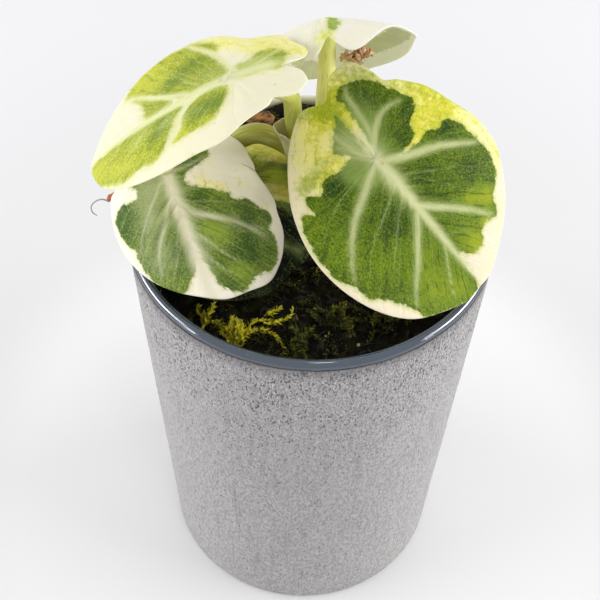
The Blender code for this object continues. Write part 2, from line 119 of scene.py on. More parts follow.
HASH_FACTORS = np.array([73856093, 19349663, 83492791])
SEED_FACTOR = 2654435
MIX_FACTOR = 1274126177
HASH_TOP = 0xFFFFFF


def uneven(points, cell, seed=0):
    """Heights from -1 to 1: hashed values at the corners of cells, blended by smooth shares of the way."""
    place = np.asarray(points, float) / cell
    corner = np.floor(place).astype(np.int64)
    share = place - corner
    share = share * share * (3 - 2 * share)
    total = 0.0
    for step in np.ndindex(2, 2, 2):
        spot = corner + np.array(step)
        mixed = np.bitwise_xor.reduce(spot * HASH_FACTORS, axis=-1) ^ (seed + 7) * SEED_FACTOR
        mixed = ((mixed ^ (mixed >> 13)) * MIX_FACTOR) & HASH_TOP
        weight = np.prod(np.where(np.array(step) == 1, share, 1 - share), axis=-1)
        total = total + weight * (mixed / (HASH_TOP // 2) - 1)
    return total


print("heights at three spots:", uneven(np.eye(3), 0.7).round(3))

# %% [markdown]
# Two more helpers carry the long thin things. A route is a curve through a few given spots, and a rod
# is a circle carried along a route, many rods at once.

# %% Smooth routes and rods


def smooth_route(points, steps, closed=False):
    """Points read evenly from a Catmull-Rom curve, which passes through each given point."""
    route = np.array(points, float)
    if closed:
        padded = np.vstack([route[-1:], route, route[:2]])
    else:
        padded = np.vstack([2 * route[0] - route[1], route, 2 * route[-1] - route[-2]])
    spans = len(route) if closed else len(route) - 1
    where = np.linspace(0, spans, steps + 1)
    index = np.minimum(where.astype(int), spans - 1)
    t = (where - index)[:, None]
    p0, p1, p2, p3 = (padded[index + k] for k in range(4))
    return 0.5 * (2 * p1 + (p2 - p0) * t + (2 * p0 - 5 * p1 + 4 * p2 - p3) * t ** 2
                  + (3 * p1 - p0 - 3 * p2 + p3) * t ** 3)


def unit(vectors):
    """Vectors scaled to length one."""
    return vectors / np.linalg.norm(vectors, axis=-1, keepdims=True)


def rods(routes, radii, sides, flat=1.0):
    """Closed rods along many routes at once, as points and faces.

    At each step a circle stands square to the route, in a plane spanned by a side direction and the cross
    product of the route's direction with it. Radii are given for each rod, step and side. Flat squeezes the
    circle one way into a strip.
    """
    routes = np.asarray(routes, float)
    count, steps = routes.shape[:2]
    along = unit(np.gradient(routes, axis=1))
    reference = np.eye(3)[np.abs(along.mean(axis=1)).argmin(axis=1)][:, None, :]
    aside = unit(np.cross(np.broadcast_to(reference, along.shape), along))
    upward = np.cross(along, aside)
    turn = np.linspace(0, math.tau, sides, endpoint=False)
    radii = np.broadcast_to(radii, (count, steps, sides))[..., None]
    circle = (np.cos(turn)[:, None] * aside[:, :, None, :]
              + flat * np.sin(turn)[:, None] * upward[:, :, None, :])
    rings = routes[:, :, None, :] + radii * circle
    points = np.concatenate([routes[:, :1], rings.reshape(count, -1, 3), routes[:, -1:]], axis=1)
    offsets = np.arange(count)[:, None, None] * points.shape[1]
    faces = [(part + offsets).reshape(-1, part.shape[1]) for part in closed_faces(steps, sides)]
    return points.reshape(-1, 3), faces


# %% [markdown]
# ## Finishes as arithmetic
#
# A finish is a net of nodes. Wiring it by hand hides what it works out, so one small class wraps a socket:
# adding or multiplying two wires adds the Math node that does it. Colours go through Mix nodes, because a
# Math node would turn them grey. All patterns read object coordinates or values stored on the mesh.

# %% The wire, and the finish that owns it


class Wire:
    """A value running through a finish. Plain numbers may stand on either side of the operators."""

    def __init__(self, finish, socket):
        self.finish = finish
        self.socket = socket

    def math(self, operation, first, second):
        """A Math node on two values."""
        return self.finish.node("ShaderNodeMath", {"operation": operation}, {0: first, 1: second})

    def __add__(self, other):
        return self.math("ADD", self, other)

    def __radd__(self, other):
        return self.math("ADD", other, self)

    def __sub__(self, other):
        return self.math("SUBTRACT", self, other)

    def __rsub__(self, other):
        return self.math("SUBTRACT", other, self)

    def __mul__(self, other):
        return self.math("MULTIPLY", self, other)

    def __rmul__(self, other):
        return self.math("MULTIPLY", other, self)


class Finish:
    """One material. Constants go straight onto the shader's sockets, and node() adds any other node."""

    def __init__(self, name, **constants):
        self.material = bpy.data.materials.new(name)
        self.material.use_nodes = True
        self.tree = self.material.node_tree
        self.shader = self.tree.nodes["Principled BSDF"]
        for socket, value in constants.items():
            self.shader.inputs[socket.replace("_", " ")].default_value = value

    def feed(self, socket, value):
        """Link a wire into a socket, or write a plain value on it."""
        if isinstance(value, Wire):
            self.tree.links.new(value.socket, socket)
        else:
            socket.default_value = value

    def node(self, kind, settings=None, sockets=None, output=0):
        """Add a node of a kind, set it up, feed its sockets and return one of its outputs."""
        item = self.tree.nodes.new(kind)
        for name, value in (settings or {}).items():
            setattr(item, name, value)
        for key, value in (sockets or {}).items():
            self.feed(item.inputs[key], value)
        return Wire(self, item.outputs[output])

    def place(self):
        """Where a spot is on the object, in metres."""
        return self.node("ShaderNodeTexCoord", output="Object")

    def field(self, name, output="Fac"):
        """A value that the mesh carries."""
        return self.node("ShaderNodeAttribute", {"attribute_name": name}, output=output)

    def stretch(self, vector, factors):
        """A vector with each part scaled, to make a pattern longer one way."""
        return self.node("ShaderNodeVectorMath", {"operation": "MULTIPLY"}, {0: vector, 1: factors})

    def length(self, vector):
        """How long a vector is."""
        return self.node("ShaderNodeVectorMath", {"operation": "LENGTH"}, {0: vector}, "Value")

    def along(self, vector, axis):
        """One part of a vector: 0 is to the right, 1 is backwards and 2 is up."""
        return self.node("ShaderNodeSeparateXYZ", None, {"Vector": vector}, axis)

    def noise(self, vector, scale, detail=2.0, rough=0.5):
        """Cloudy noise from 0 to 1, around a half."""
        sockets = {"Vector": vector, "Scale": scale, "Detail": detail, "Roughness": rough}
        return self.node("ShaderNodeTexNoise", None, sockets)

    def cells(self, vector, scale):
        """Distance to the nearest of many scattered seeds."""
        return self.node("ShaderNodeTexVoronoi", {"feature": "F1"}, {"Vector": vector, "Scale": scale})

    def waves(self, vector, scale, bend, bend_scale):
        """Even stripes from 0 to 1, bent by a noise of their own."""
        sockets = {"Vector": vector, "Scale": scale, "Distortion": bend, "Detail": 2.0,
                   "Detail Scale": bend_scale}
        return self.node("ShaderNodeTexWave", {"wave_profile": "SIN"}, sockets)

    def ease(self, value, low, high):
        """0 below low, 1 above high and a smooth slope between them."""
        sockets = {0: value, 1: low, 2: high}
        return self.node("ShaderNodeMapRange", {"interpolation_type": "SMOOTHSTEP"}, sockets)

    def mix(self, share, low, high):
        """Blend two colours."""
        return self.node("ShaderNodeMix", {"data_type": "RGBA"}, {0: share, 6: low, 7: high}, 2)

    def show(self, **wires):
        """Feed the shader's own sockets."""
        for socket, wire in wires.items():
            self.feed(self.shader.inputs[socket.replace("_", " ")], wire)

    def emboss(self, height, strength, distance):
        """Turn a height in the pattern into the light and shade of real relief, distance in millimetres."""
        sockets = {"Height": height, "Strength": strength, "Distance": distance * MM}
        self.show(Normal=self.node("ShaderNodeBump", None, sockets))


def paint(red, green, blue):
    """A colour picked on screen, 0 to 255, turned into the linear values that light works in."""
    share = np.array([red, green, blue]) / 255.0
    linear = np.where(share <= 0.04045, share / 12.92, ((share + 0.055) / 1.055) ** 2.4)
    return (*map(float, linear), 1.0)


print("a mid grey in linear light:", round(paint(128, 128, 128)[0], 4))

# %% [markdown]
# ## Camera, floor and light
#
# The photograph looks down at the pot at about 51 degrees, from close by, so the cup narrows strongly towards
# its foot. The camera is placed by the spot it aims at, its distance and its height angle.

# %% Camera

AIM = np.array([-2.39, 0.0, 93.66])
DISTANCE = 364.3
LOOK_DOWN = math.radians(50.7)
CAMERA_ROLL = math.radians(1.74)

back = np.array([0.0, -math.cos(LOOK_DOWN), math.sin(LOOK_DOWN)])
level = np.array([1.0, 0.0, 0.0])
upright = np.cross(level, -back)
right = math.cos(CAMERA_ROLL) * level + math.sin(CAMERA_ROLL) * upright
above = -math.sin(CAMERA_ROLL) * level + math.cos(CAMERA_ROLL) * upright
lens = bpy.data.cameras.new("camera")
lens.lens = 82.0
lens.sensor_width = 36.0
lens.clip_start = 0.01
camera = bpy.data.objects.new("camera", lens)
bpy.context.scene.collection.objects.link(camera)
pose = np.eye(4)
pose[:3, :3] = np.stack([right, above, back], axis=1)
pose[:3, 3] = (AIM + DISTANCE * back) * MM
camera.matrix_world = Matrix(pose.tolist())
bpy.context.scene.camera = camera
bpy.context.scene.view_settings.view_transform = "Standard"
print("camera at", (pose[:3, 3] / MM).round(1), "mm")

# %% [markdown]
# The floor is one plain pale square. A slight change of its tone with the distance from the pot evens out the
# light that falls on it.

# %% Floor

FLOOR_HALF = 1500.0
FLOOR_HEIGHT = -0.05
floor_finish = Finish("pale_floor", Roughness=0.7)
from_pot = floor_finish.length(floor_finish.place())
near_share = floor_finish.ease(from_pot, 0.088, 0.127)
far_share = floor_finish.ease(from_pot, 0.15, 0.26)
floor_near = floor_finish.mix(near_share, paint(226, 225, 225), paint(212, 211, 211))
floor_finish.show(Base_Color=floor_finish.mix(far_share, floor_near, paint(217, 216, 217)))
floor_corners = np.array([(-1, -1), (1, -1), (1, 1), (-1, 1)]) * FLOOR_HALF
floor_points = np.column_stack([floor_corners, np.full(4, FLOOR_HEIGHT)])
floor = make_piece("floor", floor_points, [np.array([[0, 1, 2, 3]])])
floor.data.materials.append(floor_finish.material)

# %% [markdown]
# Two long soft panels of light stand at the sides, which leaves the front of the pot a little darker than its
# flanks and draws long thin gleams on its round lip. A weak one fills in from behind, and a small one high in
# front gives the lip its front gleam.

# %% Soft light

LIT_SPOT = np.array([0.0, 0.0, 0.12])


def soft_light(name, place, width, height, watts):
    """A soft panel that faces the lit spot, with its place and its sides in metres."""
    panel = bpy.data.lights.new(name, "AREA")
    panel.shape = "RECTANGLE"
    panel.size = width
    panel.size_y = height
    panel.energy = watts
    item = bpy.data.objects.new(name, panel)
    away = unit(np.array(place) - LIT_SPOT)
    side = unit(np.cross([0.0, 0.0, 1.0], away))
    turn = np.eye(4)
    turn[:3, :3] = np.stack([side, np.cross(away, side), away], axis=1)
    turn[:3, 3] = place
    item.matrix_world = Matrix(turn.tolist())
    bpy.context.scene.collection.objects.link(item)
    print(name, "at", place, "with", watts, "watts")


soft_light("panel_left", (-1.05, -0.04, 0.43), 1.12, 0.24, 8.6)
soft_light("panel_right", (1.05, -0.01, 0.45), 1.12, 0.24, 10.4)
soft_light("panel_over", (0.10, 0.60, 1.05), 0.8, 0.25, 0.9)
soft_light("panel_front", (0.11, -0.43, 1.29), 0.16, 0.34, 1.2)
world = bpy.data.worlds.new("studio")
world.use_nodes = True
world.node_tree.nodes["Background"].inputs["Color"].default_value = (0.96, 0.98, 1.0, 1.0)
world.node_tree.nodes["Background"].inputs["Strength"].default_value = 0.77
bpy.context.scene.world = world
print("lights: 4 panels and a pale surround")

# %% [markdown]
# ## The cover pot
#
# The real pot is one fired cup. Its inside and its lip are glazed smooth and blue-grey, and its outside wears
# a coarse sandy coat that stops just under the lip in a slightly crumbled edge. Turning one profile would
# make the whole thing, but the coat needs its own grain and its own outline, so the cup and the coat are two
# nested closed forms. Each is a profile of radius and height, carried around the axis.

# %% The pot's sizes and its profile

POT_HEIGHT = 126.0
RIM_RADIUS = 46.0
BASE_RADIUS = 39.0
POT_WALL = 2.8
POT_FLOOR = 5.0
COAT = 0.35
COAT_TOP = 124.1
FOOT_ROUND = 1.6


def pot_radius(height):
    """Radius of the outside at a height: a straight taper."""
    return BASE_RADIUS + (RIM_RADIUS - BASE_RADIUS) * height / POT_HEIGHT


def arc(centre, radius, start, end, steps):
    """Points on an arc in the plane of radius and height."""
    turn = np.radians(np.linspace(start, end, steps + 1))
    return np.stack([centre[0] + radius * np.cos(turn), centre[1] + radius * np.sin(turn)], axis=-1)


def spun(profile, columns):
    """A profile carried once around the axis: radius times cosine and sine of the angle, and the height."""
    turn = np.linspace(0, math.tau, columns, endpoint=False)
    radius = profile[:, 0][:, None]
    height = np.broadcast_to(profile[:, 1][:, None], (len(profile), columns))
    return np.stack([radius * np.cos(turn), radius * np.sin(turn), height], axis=-1)


print("pot radius at half height:", pot_radius(POT_HEIGHT / 2), "mm")

# %% [markdown]
# The cup's profile runs from the middle of its foot up the wall, over the round lip and down to its floor.
# Fine ridges on the lip break its gleams a little, as thick glaze does.

# %% The glazed cup

CUP_COLUMNS = 256
LIP_STEPS = 60
lip_radius = (POT_WALL - COAT) / 2
lip_centre = (RIM_RADIUS - COAT - lip_radius, POT_HEIGHT - lip_radius)
lip_curve = arc((0, 0), 1.0, 0, 180, LIP_STEPS)
lip_power = np.where(lip_curve[:, 0] > 0, 1.5, 2.0)
lip_shoulder = (np.abs(lip_curve) ** lip_power[:, None]).sum(axis=1) ** (-1 / lip_power)
lip_ridges = 0.005 * (np.cos(np.linspace(0, 20 * math.pi, LIP_STEPS + 1)) - 1)
lip_curve = np.array(lip_centre) + (lip_radius * lip_shoulder + lip_ridges)[:, None] * lip_curve
outer_wall = [(pot_radius(h) - COAT, h) for h in (6.0, 60.0, 118.0, 121.0, 123.0)]
inner_wall = [(pot_radius(h) - POT_WALL, h) for h in (123.0, 121.0, 118.0, 114.0, 60.0, 12.0)]
cup_profile = np.vstack([
    [(20.0, 0.6), (35.0, 0.6), (38.2, 1.6)], outer_wall, lip_curve, inner_wall,
    arc((pot_radius(9.0) - POT_WALL - 4.0, 9.0), 4.0, 0, -90, 6), [(18.0, POT_FLOOR)]])
cup_grid = spun(cup_profile, CUP_COLUMNS)
wobble = 0.05 * uneven(cup_grid, 9.0, 3)
cup_grid[..., :2] *= (1 + wobble / RIM_RADIUS)[..., None]
cup_points = closed_points((0, 0, 0.6), cup_grid, (0, 0, POT_FLOOR))
cup = make_piece("pot_glazed_cup", cup_points, closed_faces(*cup_grid.shape[:2]))

# %% [markdown]
# The coat is the wall's own surface, pushed in by random grains. A bump in its finish would shade the grains,
# but it would leave the outline of the pot perfectly straight, so they are made in the mesh.

# %% The sandy coat

COAT_ROWS = 152
COAT_COLUMNS = 352
rise = np.linspace(0, 1, COAT_ROWS)
coat_turn = np.linspace(0, math.tau, COAT_COLUMNS, endpoint=False)
around = np.stack([np.cos(coat_turn), np.sin(coat_turn), np.zeros(COAT_COLUMNS)], axis=-1)
crumble = 0.22 * uneven(around * RIM_RADIUS, 1.7, 5) + 0.16 * uneven(around * RIM_RADIUS, 0.8, 6)
coat_edge = COAT_TOP - 0.35 + crumble
wall_height = FOOT_ROUND + rise[:, None] * (coat_edge - FOOT_ROUND)
wall_grid = np.concatenate([pot_radius(wall_height)[..., None] * around[:, :2], wall_height[..., None]],
                           axis=-1)
upright_grain = wall_grid * np.array([1.0, 1.0, 0.55])
grain = 0.5 * uneven(upright_grain, 0.95, 11) + 0.3 * uneven(upright_grain, 1.9, 12)
grain = grain + 0.2 * uneven(wall_grid, 6, 13)
sink = 0.03 + 0.13 * (0.5 - grain)
wall_grid[..., :2] -= sink[..., None] * around[:, :2]
print("grains reach", (sink.max() - sink.min()).round(2), "mm in and out")

# %% [markdown]
# The coat rounds in under the foot. At its top it rolls over in a few rows that rise and fall with the
# crumbled edge, and a plain wall inside closes the form.

# %% Its foot and its crumbled top edge close the coat

foot_curve = arc((BASE_RADIUS - FOOT_ROUND, FOOT_ROUND), FOOT_ROUND, -90, -15, 5)
foot_profile = np.vstack([[(15.0, 0.0), (30.0, 0.0)], foot_curve])
inside_wall = [(pot_radius(h) - COAT + 0.02, h) for h in (90.0, 30.0, 2.2)]
inside_profile = np.array(inside_wall + [(36.0, 0.5), (20.0, 0.5)])
edge_rows = []
for inset, lift in ((0.12, 0.10), (0.26, 0.16), (COAT - 0.02, 0.14)):
    edge_radius = pot_radius(COAT_TOP) - inset
    edge_height = coat_edge + lift
    edge_rows.append(np.concatenate([edge_radius * around[:, :2], edge_height[:, None]], axis=-1))
coat_grid = np.concatenate([spun(foot_profile, COAT_COLUMNS), wall_grid, np.array(edge_rows),
                            spun(inside_profile, COAT_COLUMNS)])
coat_points = closed_points((0, 0, 0), coat_grid, (0, 0, 0.5))
coat = make_piece("pot_sandy_coat", coat_points, closed_faces(*coat_grid.shape[:2]))

# %% [markdown]
# The glaze is smooth and picks up the light panels as long streaks on the round lip. It is cloudy and has a
# few pale flecks. On top of the lip at the back it is painted pale, a painted reflection of the bright
# surround.

# %% Finish of the glaze

glaze = Finish("blue_grey_glaze", Roughness=0.06, IOR=2.05)
glaze_cloud = glaze.noise(glaze.place(), 90.0, 4.0)
glaze_fleck = glaze.ease(glaze.noise(glaze.place(), 900.0, 2.0), 0.70, 0.78)
glaze_tint = glaze.mix(glaze_cloud, paint(18, 32, 48), paint(45, 61, 80))
glaze_tint = glaze.mix(glaze_fleck * 0.25, glaze_tint, paint(150, 152, 146))
# Painted reflection: the top of the lip at the back is mixed towards a pale colour.
backward = glaze.along(glaze.place(), 1)
lifted = glaze.along(glaze.place(), 2)
painted_back_reflection = glaze.ease(backward, 0.034, 0.041) * glaze.ease(lifted, 0.1232, 0.1250)
glaze.show(Base_Color=glaze.mix(painted_back_reflection * 0.85, glaze_tint, paint(200, 194, 160)))
glaze.emboss(glaze.noise(glaze.place(), 200.0, 2.0), 0.06, 0.3)
dress(cup, glaze, "pot_ceramic", "cover_pot")

# %% [markdown]
# The coat is the opposite of the glaze: matt, with grains and pits under a millimetre across that run a
# little longer upwards, light on the grains and faintly warm in large soft patches. The pits are dark, partly
# the sand's own dark specks and partly painted shade in the hollows. The grain is crisp in the upper half and
# softer towards the foot, with faint darker streaks down the wall. The coat darkens in the last millimetres
# below the lip with painted shadow, and a thin line of painted shade runs where it meets the glaze.

# %% Finish of the coat

sand = Finish("grey_sand_coat", Roughness=0.92, Specular_IOR_Level=0.25)
spot = sand.place()
tall = sand.stretch(spot, (1.0, 1.0, 0.44))
height = sand.along(spot, 2)
crisp = sand.ease(height, 0.062, 0.118)
fine_grains = sand.noise(tall, 2900.0, 3.0, 0.6) * (0.35 + 0.65 * crisp)
coarse_grains = sand.noise(tall, 1500.0, 3.0, 0.6) * (0.65 - 0.65 * crisp)
grains = fine_grains + coarse_grains
clusters = sand.ease(sand.noise(spot, 70.0, 2.0), 0.42, 0.62)
pits = sand.ease(sand.noise(tall, 2000.0, 2.0, 0.55) + crisp * (0.02 + 0.05 * clusters), 0.62, 0.70)
pale_grains = sand.ease(sand.noise(tall, 2700.0, 2.0, 0.5), 0.56, 0.70)
streaks = sand.noise(sand.stretch(spot, (1.0, 1.0, 0.06)), 620.0, 2.0, 0.5)
patches = sand.noise(spot, 38.0, 3.0)
plain = sand.mix(patches, paint(154, 152, 154), paint(173, 167, 167))
dark_grain = sand.mix(0.55, plain, paint(104, 104, 108))
light_grain = sand.mix(0.40, plain, paint(226, 222, 218))
tint = sand.mix(sand.ease(grains, 0.30, 0.72), dark_grain, light_grain)
tint = sand.mix(pale_grains * (0.30 + 0.40 * crisp), tint, paint(234, 226, 220))
tint = sand.mix(0.14 - 0.14 * crisp, tint, plain)
tint = sand.mix(sand.ease(streaks, 0.50, 0.76) * 0.26, tint, paint(118, 118, 122))
# The pits are darkened partly as the sand's own dark specks and partly as painted shade in the hollows.
tint = sand.mix(pits * (0.44 + 0.34 * crisp), tint, paint(70, 71, 76))
# Painted shadow: the coat darkens in the last millimetres below the lip.
painted_shadow_under_lip = sand.ease(height + (sand.noise(tall, 520.0, 3.0, 0.6) - 0.5) * 0.006, 0.1185, 0.1240)
tint = sand.mix(painted_shadow_under_lip * 0.55, tint, paint(96, 95, 98))
# Painted shade: a thin darker line where the coat meets the glaze.
tint = sand.mix(sand.ease(height, 0.1234, 0.1241) * 0.6, tint, paint(92, 84, 74))
sand.show(Base_Color=tint)
sand.emboss((grains + pale_grains * 0.3 - pits * 0.6) * (0.62 + 0.38 * crisp), 0.95, 0.31)
dress(coat, sand, "pot_ceramic", "cover_pot")

# %% [markdown]
# ## The potting mix
#
# Under the leaves lies a nearly black mix of bark, peat and moss. Seen from above it is a height over the
# plane, so its top is one surface of angle and radius: the level, heaps around the crown and at the back, low
# swells and three sizes of random crumbs. Its walls and its base close it inside the cup.

# %% The mix as one closed form

MIX_LEVEL = 117.0
MIX_COLUMNS = 300
MIX_ROWS = 105
CROWN = np.array([2.0, 11.5])


def mix_height(x, y):
    """Top of the mix: level, heaped around the crown and at the back, with low lumps."""
    crown_heap = 2.0 * np.exp(-((x - CROWN[0]) ** 2 + (y - CROWN[1]) ** 2) / 120.0)
    back_heap = 3.6 * np.exp(-((x + 12.0) ** 2 + (y - 34.0) ** 2) / 160.0)
    lumps = 0.45 * np.sin(0.42 * x + 1.0) * np.cos(0.38 * y) + 0.35 * np.sin(0.55 * x - 0.47 * y + 2.0)
    return MIX_LEVEL + crown_heap + back_heap + lumps


def mix_relief(x, y):
    """Crumbs of three sizes on top of that height, and more of them piled against the wall at the back."""
    flat = np.stack([x, y, np.zeros_like(x)], axis=-1)
    height = 7.6 * np.exp(-(x + 2.0) ** 2 / 420.0 - (y - 43.0) ** 2 / 30.0)
    for strength, size, seed in ((0.55, 3.1, 21), (0.45, 1.5, 22), (0.25, 0.75, 23)):
        height = height + strength * uneven(flat, size, seed)
    return height - 0.5


mix_turn = np.linspace(0, math.tau, MIX_COLUMNS, endpoint=False)
mix_radius = np.linspace(pot_radius(MIX_LEVEL) - POT_WALL - 0.05, 0.4, MIX_ROWS)
mix_x = mix_radius[:, None] * np.cos(mix_turn)
mix_y = mix_radius[:, None] * np.sin(mix_turn)
mix_top = np.stack([mix_x, mix_y, mix_height(mix_x, mix_y) + mix_relief(mix_x, mix_y)], axis=-1)
mix_side = np.array([(pot_radius(h) - POT_WALL - inset, h)
                     for h, inset in ((5.4, 4.9), (10.0, 0.3), (112.0, 0.2))])
mix_grid = np.concatenate([spun(mix_side, MIX_COLUMNS), mix_top])
mix_points = closed_points((0, 0, 5.4), mix_grid, (0, 0, float(mix_height(0.0, 0.0)) - 0.5))
mix_body = make_piece("potting_mix_bed", mix_points, closed_faces(*mix_grid.shape[:2]))

# %% [markdown]
# Wet peat is almost black. Its clods catch a little light, and a thin film of moss greens it in patches.

# %% Finish of the mix

peat = Finish("dark_peat", Roughness=0.95, Specular_IOR_Level=0.2)
clods = peat.noise(peat.place(), 420.0, 5.0, 0.65)
film = peat.ease(peat.noise(peat.place(), 230.0, 4.0, 0.6), 0.52, 0.66)
peat_tint = peat.mix(peat.ease(clods, 0.35, 0.72), paint(6, 6, 3), paint(30, 24, 14))
peat.show(Base_Color=peat.mix(film * 0.5, peat_tint, paint(52, 55, 17)))
peat.emboss(clods, 1.0, 0.8)
dress(mix_body, peat, "potting_mix", "potting_mix")

# %% [markdown]
# Loose crumbs of bark lie on the bed. Each could be modelled alone, but hundreds are wanted, so each is only
# a stretched eight-sided form of six points with its own direction, size and tone. Numpy makes them all in
# one step, and one mesh holds them.

# %% Crumbs, leaflets and other eight-sided slivers


def slivers(centres, ahead, aside, upward):
    """Six points and eight faces for each centre: one point out and back along each of three directions."""
    reach = np.stack([-ahead, aside, upward, -aside, -upward, ahead], axis=1)
    points = centres[:, None, :] + reach
    pole = np.array([[0, 2, 1], [0, 3, 2], [0, 4, 3], [0, 1, 4], [5, 1, 2], [5, 2, 3], [5, 3, 4], [5, 4, 1]])
    faces = (pole[None] + 6 * np.arange(len(centres))[:, None, None]).reshape(-1, 3)
    return points.reshape(-1, 3), [faces]


chance = np.random.default_rng(11)
CRUMB_COUNT = 900
crumb_reach = (pot_radius(MIX_LEVEL) - POT_WALL - 1.6) * np.sqrt(chance.random(CRUMB_COUNT))
crumb_turn = chance.random(CRUMB_COUNT) * math.tau
crumb_x = crumb_reach * np.cos(crumb_turn)
crumb_y = crumb_reach * np.sin(crumb_turn)
crumb_z = mix_height(crumb_x, crumb_y) + mix_relief(crumb_x, crumb_y) + 0.2
crumb_ahead = unit(chance.normal(size=(CRUMB_COUNT, 3)) * [1, 1, 0.45])
crumb_aside = unit(np.cross(crumb_ahead, chance.normal(size=(CRUMB_COUNT, 3))))
crumb_up = np.cross(crumb_ahead, crumb_aside)
crumb_size = chance.uniform(0.5, 1.0, (CRUMB_COUNT, 1)) ** 2
crumb_centres = np.stack([crumb_x, crumb_y, crumb_z], axis=-1)
crumb_points, crumb_faces = slivers(crumb_centres, 1.9 * crumb_size * crumb_ahead,
                                    0.85 * crumb_size * crumb_aside, 0.55 * crumb_size * crumb_up)
crumb_tone = np.repeat(chance.random(CRUMB_COUNT), 6)
crumbs = make_piece("bark_crumbs", crumb_points, crumb_faces, {"tone": crumb_tone}, smooth=False)

bark_bits = Finish("bark_bits", Roughness=0.85)
bark_tone = bark_bits.field("tone")
bark_tint = bark_bits.mix(bark_bits.ease(bark_tone, 0.3, 0.85), paint(8, 7, 5), paint(38, 26, 16))
bark_tint = bark_bits.mix(bark_bits.ease(bark_tone, 0.965, 0.985), bark_tint, paint(150, 112, 88))
bark_bits.show(Base_Color=bark_tint)
bark_bits.emboss(bark_bits.noise(bark_bits.place(), 1600.0, 3.0), 0.6, 0.2)
dress(crumbs, bark_bits, "potting_mix")

# %% [markdown]
# A few pale specks of grit show between the moss. They are the same slivers, placed one by one.

# %% A few pale grit specks, each by its place and size

SPECKS = np.array([(6.4, -21.5, 0.55), (8.8, -20.7, 0.75), (11.9, -32.0, 0.5), (-3.0, -24.5, 0.35),
                   (20.0, -27.5, 0.35), (4.0, -30.0, 0.3), (22.5, 24.0, 0.6), (-22.0, 20.0, 0.6),
                   (30.0, 6.0, 0.5), (-6.0, 37.0, 0.5)])
speck_places = SPECKS[:, :2]
speck_size = SPECKS[:, 2:]
speck_z = mix_height(*speck_places.T) + mix_relief(*speck_places.T) + 0.5
speck_ahead = unit(chance.normal(size=(len(SPECKS), 3)))
speck_aside = unit(np.cross(speck_ahead, chance.normal(size=(len(SPECKS), 3))))
speck_up = np.cross(speck_ahead, speck_aside)
speck_centres = np.column_stack([speck_places, speck_z])
speck_points, speck_faces = slivers(speck_centres, 1.1 * speck_size * speck_ahead,
                                    speck_size * speck_aside, 0.8 * speck_size * speck_up)
specks = make_piece("grit_specks", speck_points, speck_faces, smooth=False)
grit = Finish("pale_grit", Roughness=0.8)
grit.show(Base_Color=grit.mix(grit.noise(grit.place(), 700.0), paint(176, 128, 112), paint(236, 214, 190)))
dress(specks, grit, "potting_mix")

# %% [markdown]
# ## Moss
#
# Curly feather moss grows all over the mix, dull olive in the shade and bright yellow-green in a few sprigs
# at the front. A shoot is a thin curved stem with rows of pointed leaflets. Hair particles could scatter it,
# but the export wants real meshes, so a shoot's stem is a curve worked out from its start, direction and
# curl, and each leaflet is a sliver set along it at a turning angle.

# %% Shoots of moss

WALL_ROOM = 1.3
SHOOT_STEPS = 8
STEM_SIDES = 4


def curling(starts, headings, lengths, climb, curl):
    """Routes that leave their starts along a heading, turn by the curl and rise as part of a sine wave."""
    t = np.linspace(0, 1, SHOOT_STEPS + 1)
    swing = headings[:, None] + curl[:, None] * t ** 1.3
    pace = lengths[:, None] / SHOOT_STEPS
    across = np.cumsum(np.stack([np.cos(swing) * pace, np.sin(swing) * pace], axis=-1), axis=1)
    across = across - across[:, :1]
    lift = climb[:, None] * np.sin(math.pi * 0.62 * t) * lengths[:, None]
    return starts[:, None, :] + np.concatenate([across, lift[..., None]], axis=-1)


def moss(name, routes, leaflet, stem, seed, per_shoot, plump=0.30, hug=0.75, taper=0.35):
    """Stems along the routes, kept inside the wall, each with pointed leaflets in a spiral around it."""
    draw = np.random.default_rng(seed)
    reach = np.hypot(routes[..., 0], routes[..., 1])
    room = pot_radius(routes[..., 2]) - POT_WALL - WALL_ROOM
    held = np.minimum(1, room / reach)[..., None]
    routes = np.concatenate([routes[..., :2] * held, routes[..., 2:]], axis=-1)
    count, steps = routes.shape[:2]
    thick = stem * (1 - 0.6 * np.linspace(0, 1, steps))[None, :, None] * np.ones((count, 1, 1))
    points, faces = rods(routes, thick, STEM_SIDES)
    tone = np.repeat(draw.random(count), steps * STEM_SIDES + 2) * 0.6
    along = unit(np.gradient(routes, axis=1))
    where = np.linspace(0.5, steps - 1.01, per_shoot)
    low = where.astype(int)
    part = (where - low)[None, :, None]
    centres = routes[:, low] * (1 - part) + routes[:, low + 1] * part
    tangent = along[:, low]
    spiral = np.arange(per_shoot) * 2.4 + draw.uniform(0, 6, (count, 1))
    side = unit(np.cross(tangent, [0.21, 0.13, 0.97]))
    other = np.cross(tangent, side)
    outward = np.cos(spiral)[..., None] * side + np.sin(spiral)[..., None] * other
    pointing = unit(hug * tangent + outward + draw.normal(0, 0.18, centres.shape))
    shrink = (1 - taper * where / steps)[None, :, None]
    size = leaflet * draw.uniform(0.7, 1.15, (count, per_shoot, 1)) * shrink
    width = unit(np.cross(pointing, tangent + 0.01))
    leaflets = (centres + 0.8 * size * pointing, size * pointing, plump * size * width,
                0.12 * size * np.cross(pointing, width))
    blades, blade_faces = slivers(*(rows.reshape(-1, 3) for rows in leaflets))
    leaf_tone = np.repeat((draw.random((count, per_shoot)) * 0.5 + 0.5 * where / steps).ravel(), 6)
    faces = faces + [blade_faces[0] + len(points)]
    return make_piece(name, np.vstack([points, blades]), faces, {"tone": np.concatenate([tone, leaf_tone])})


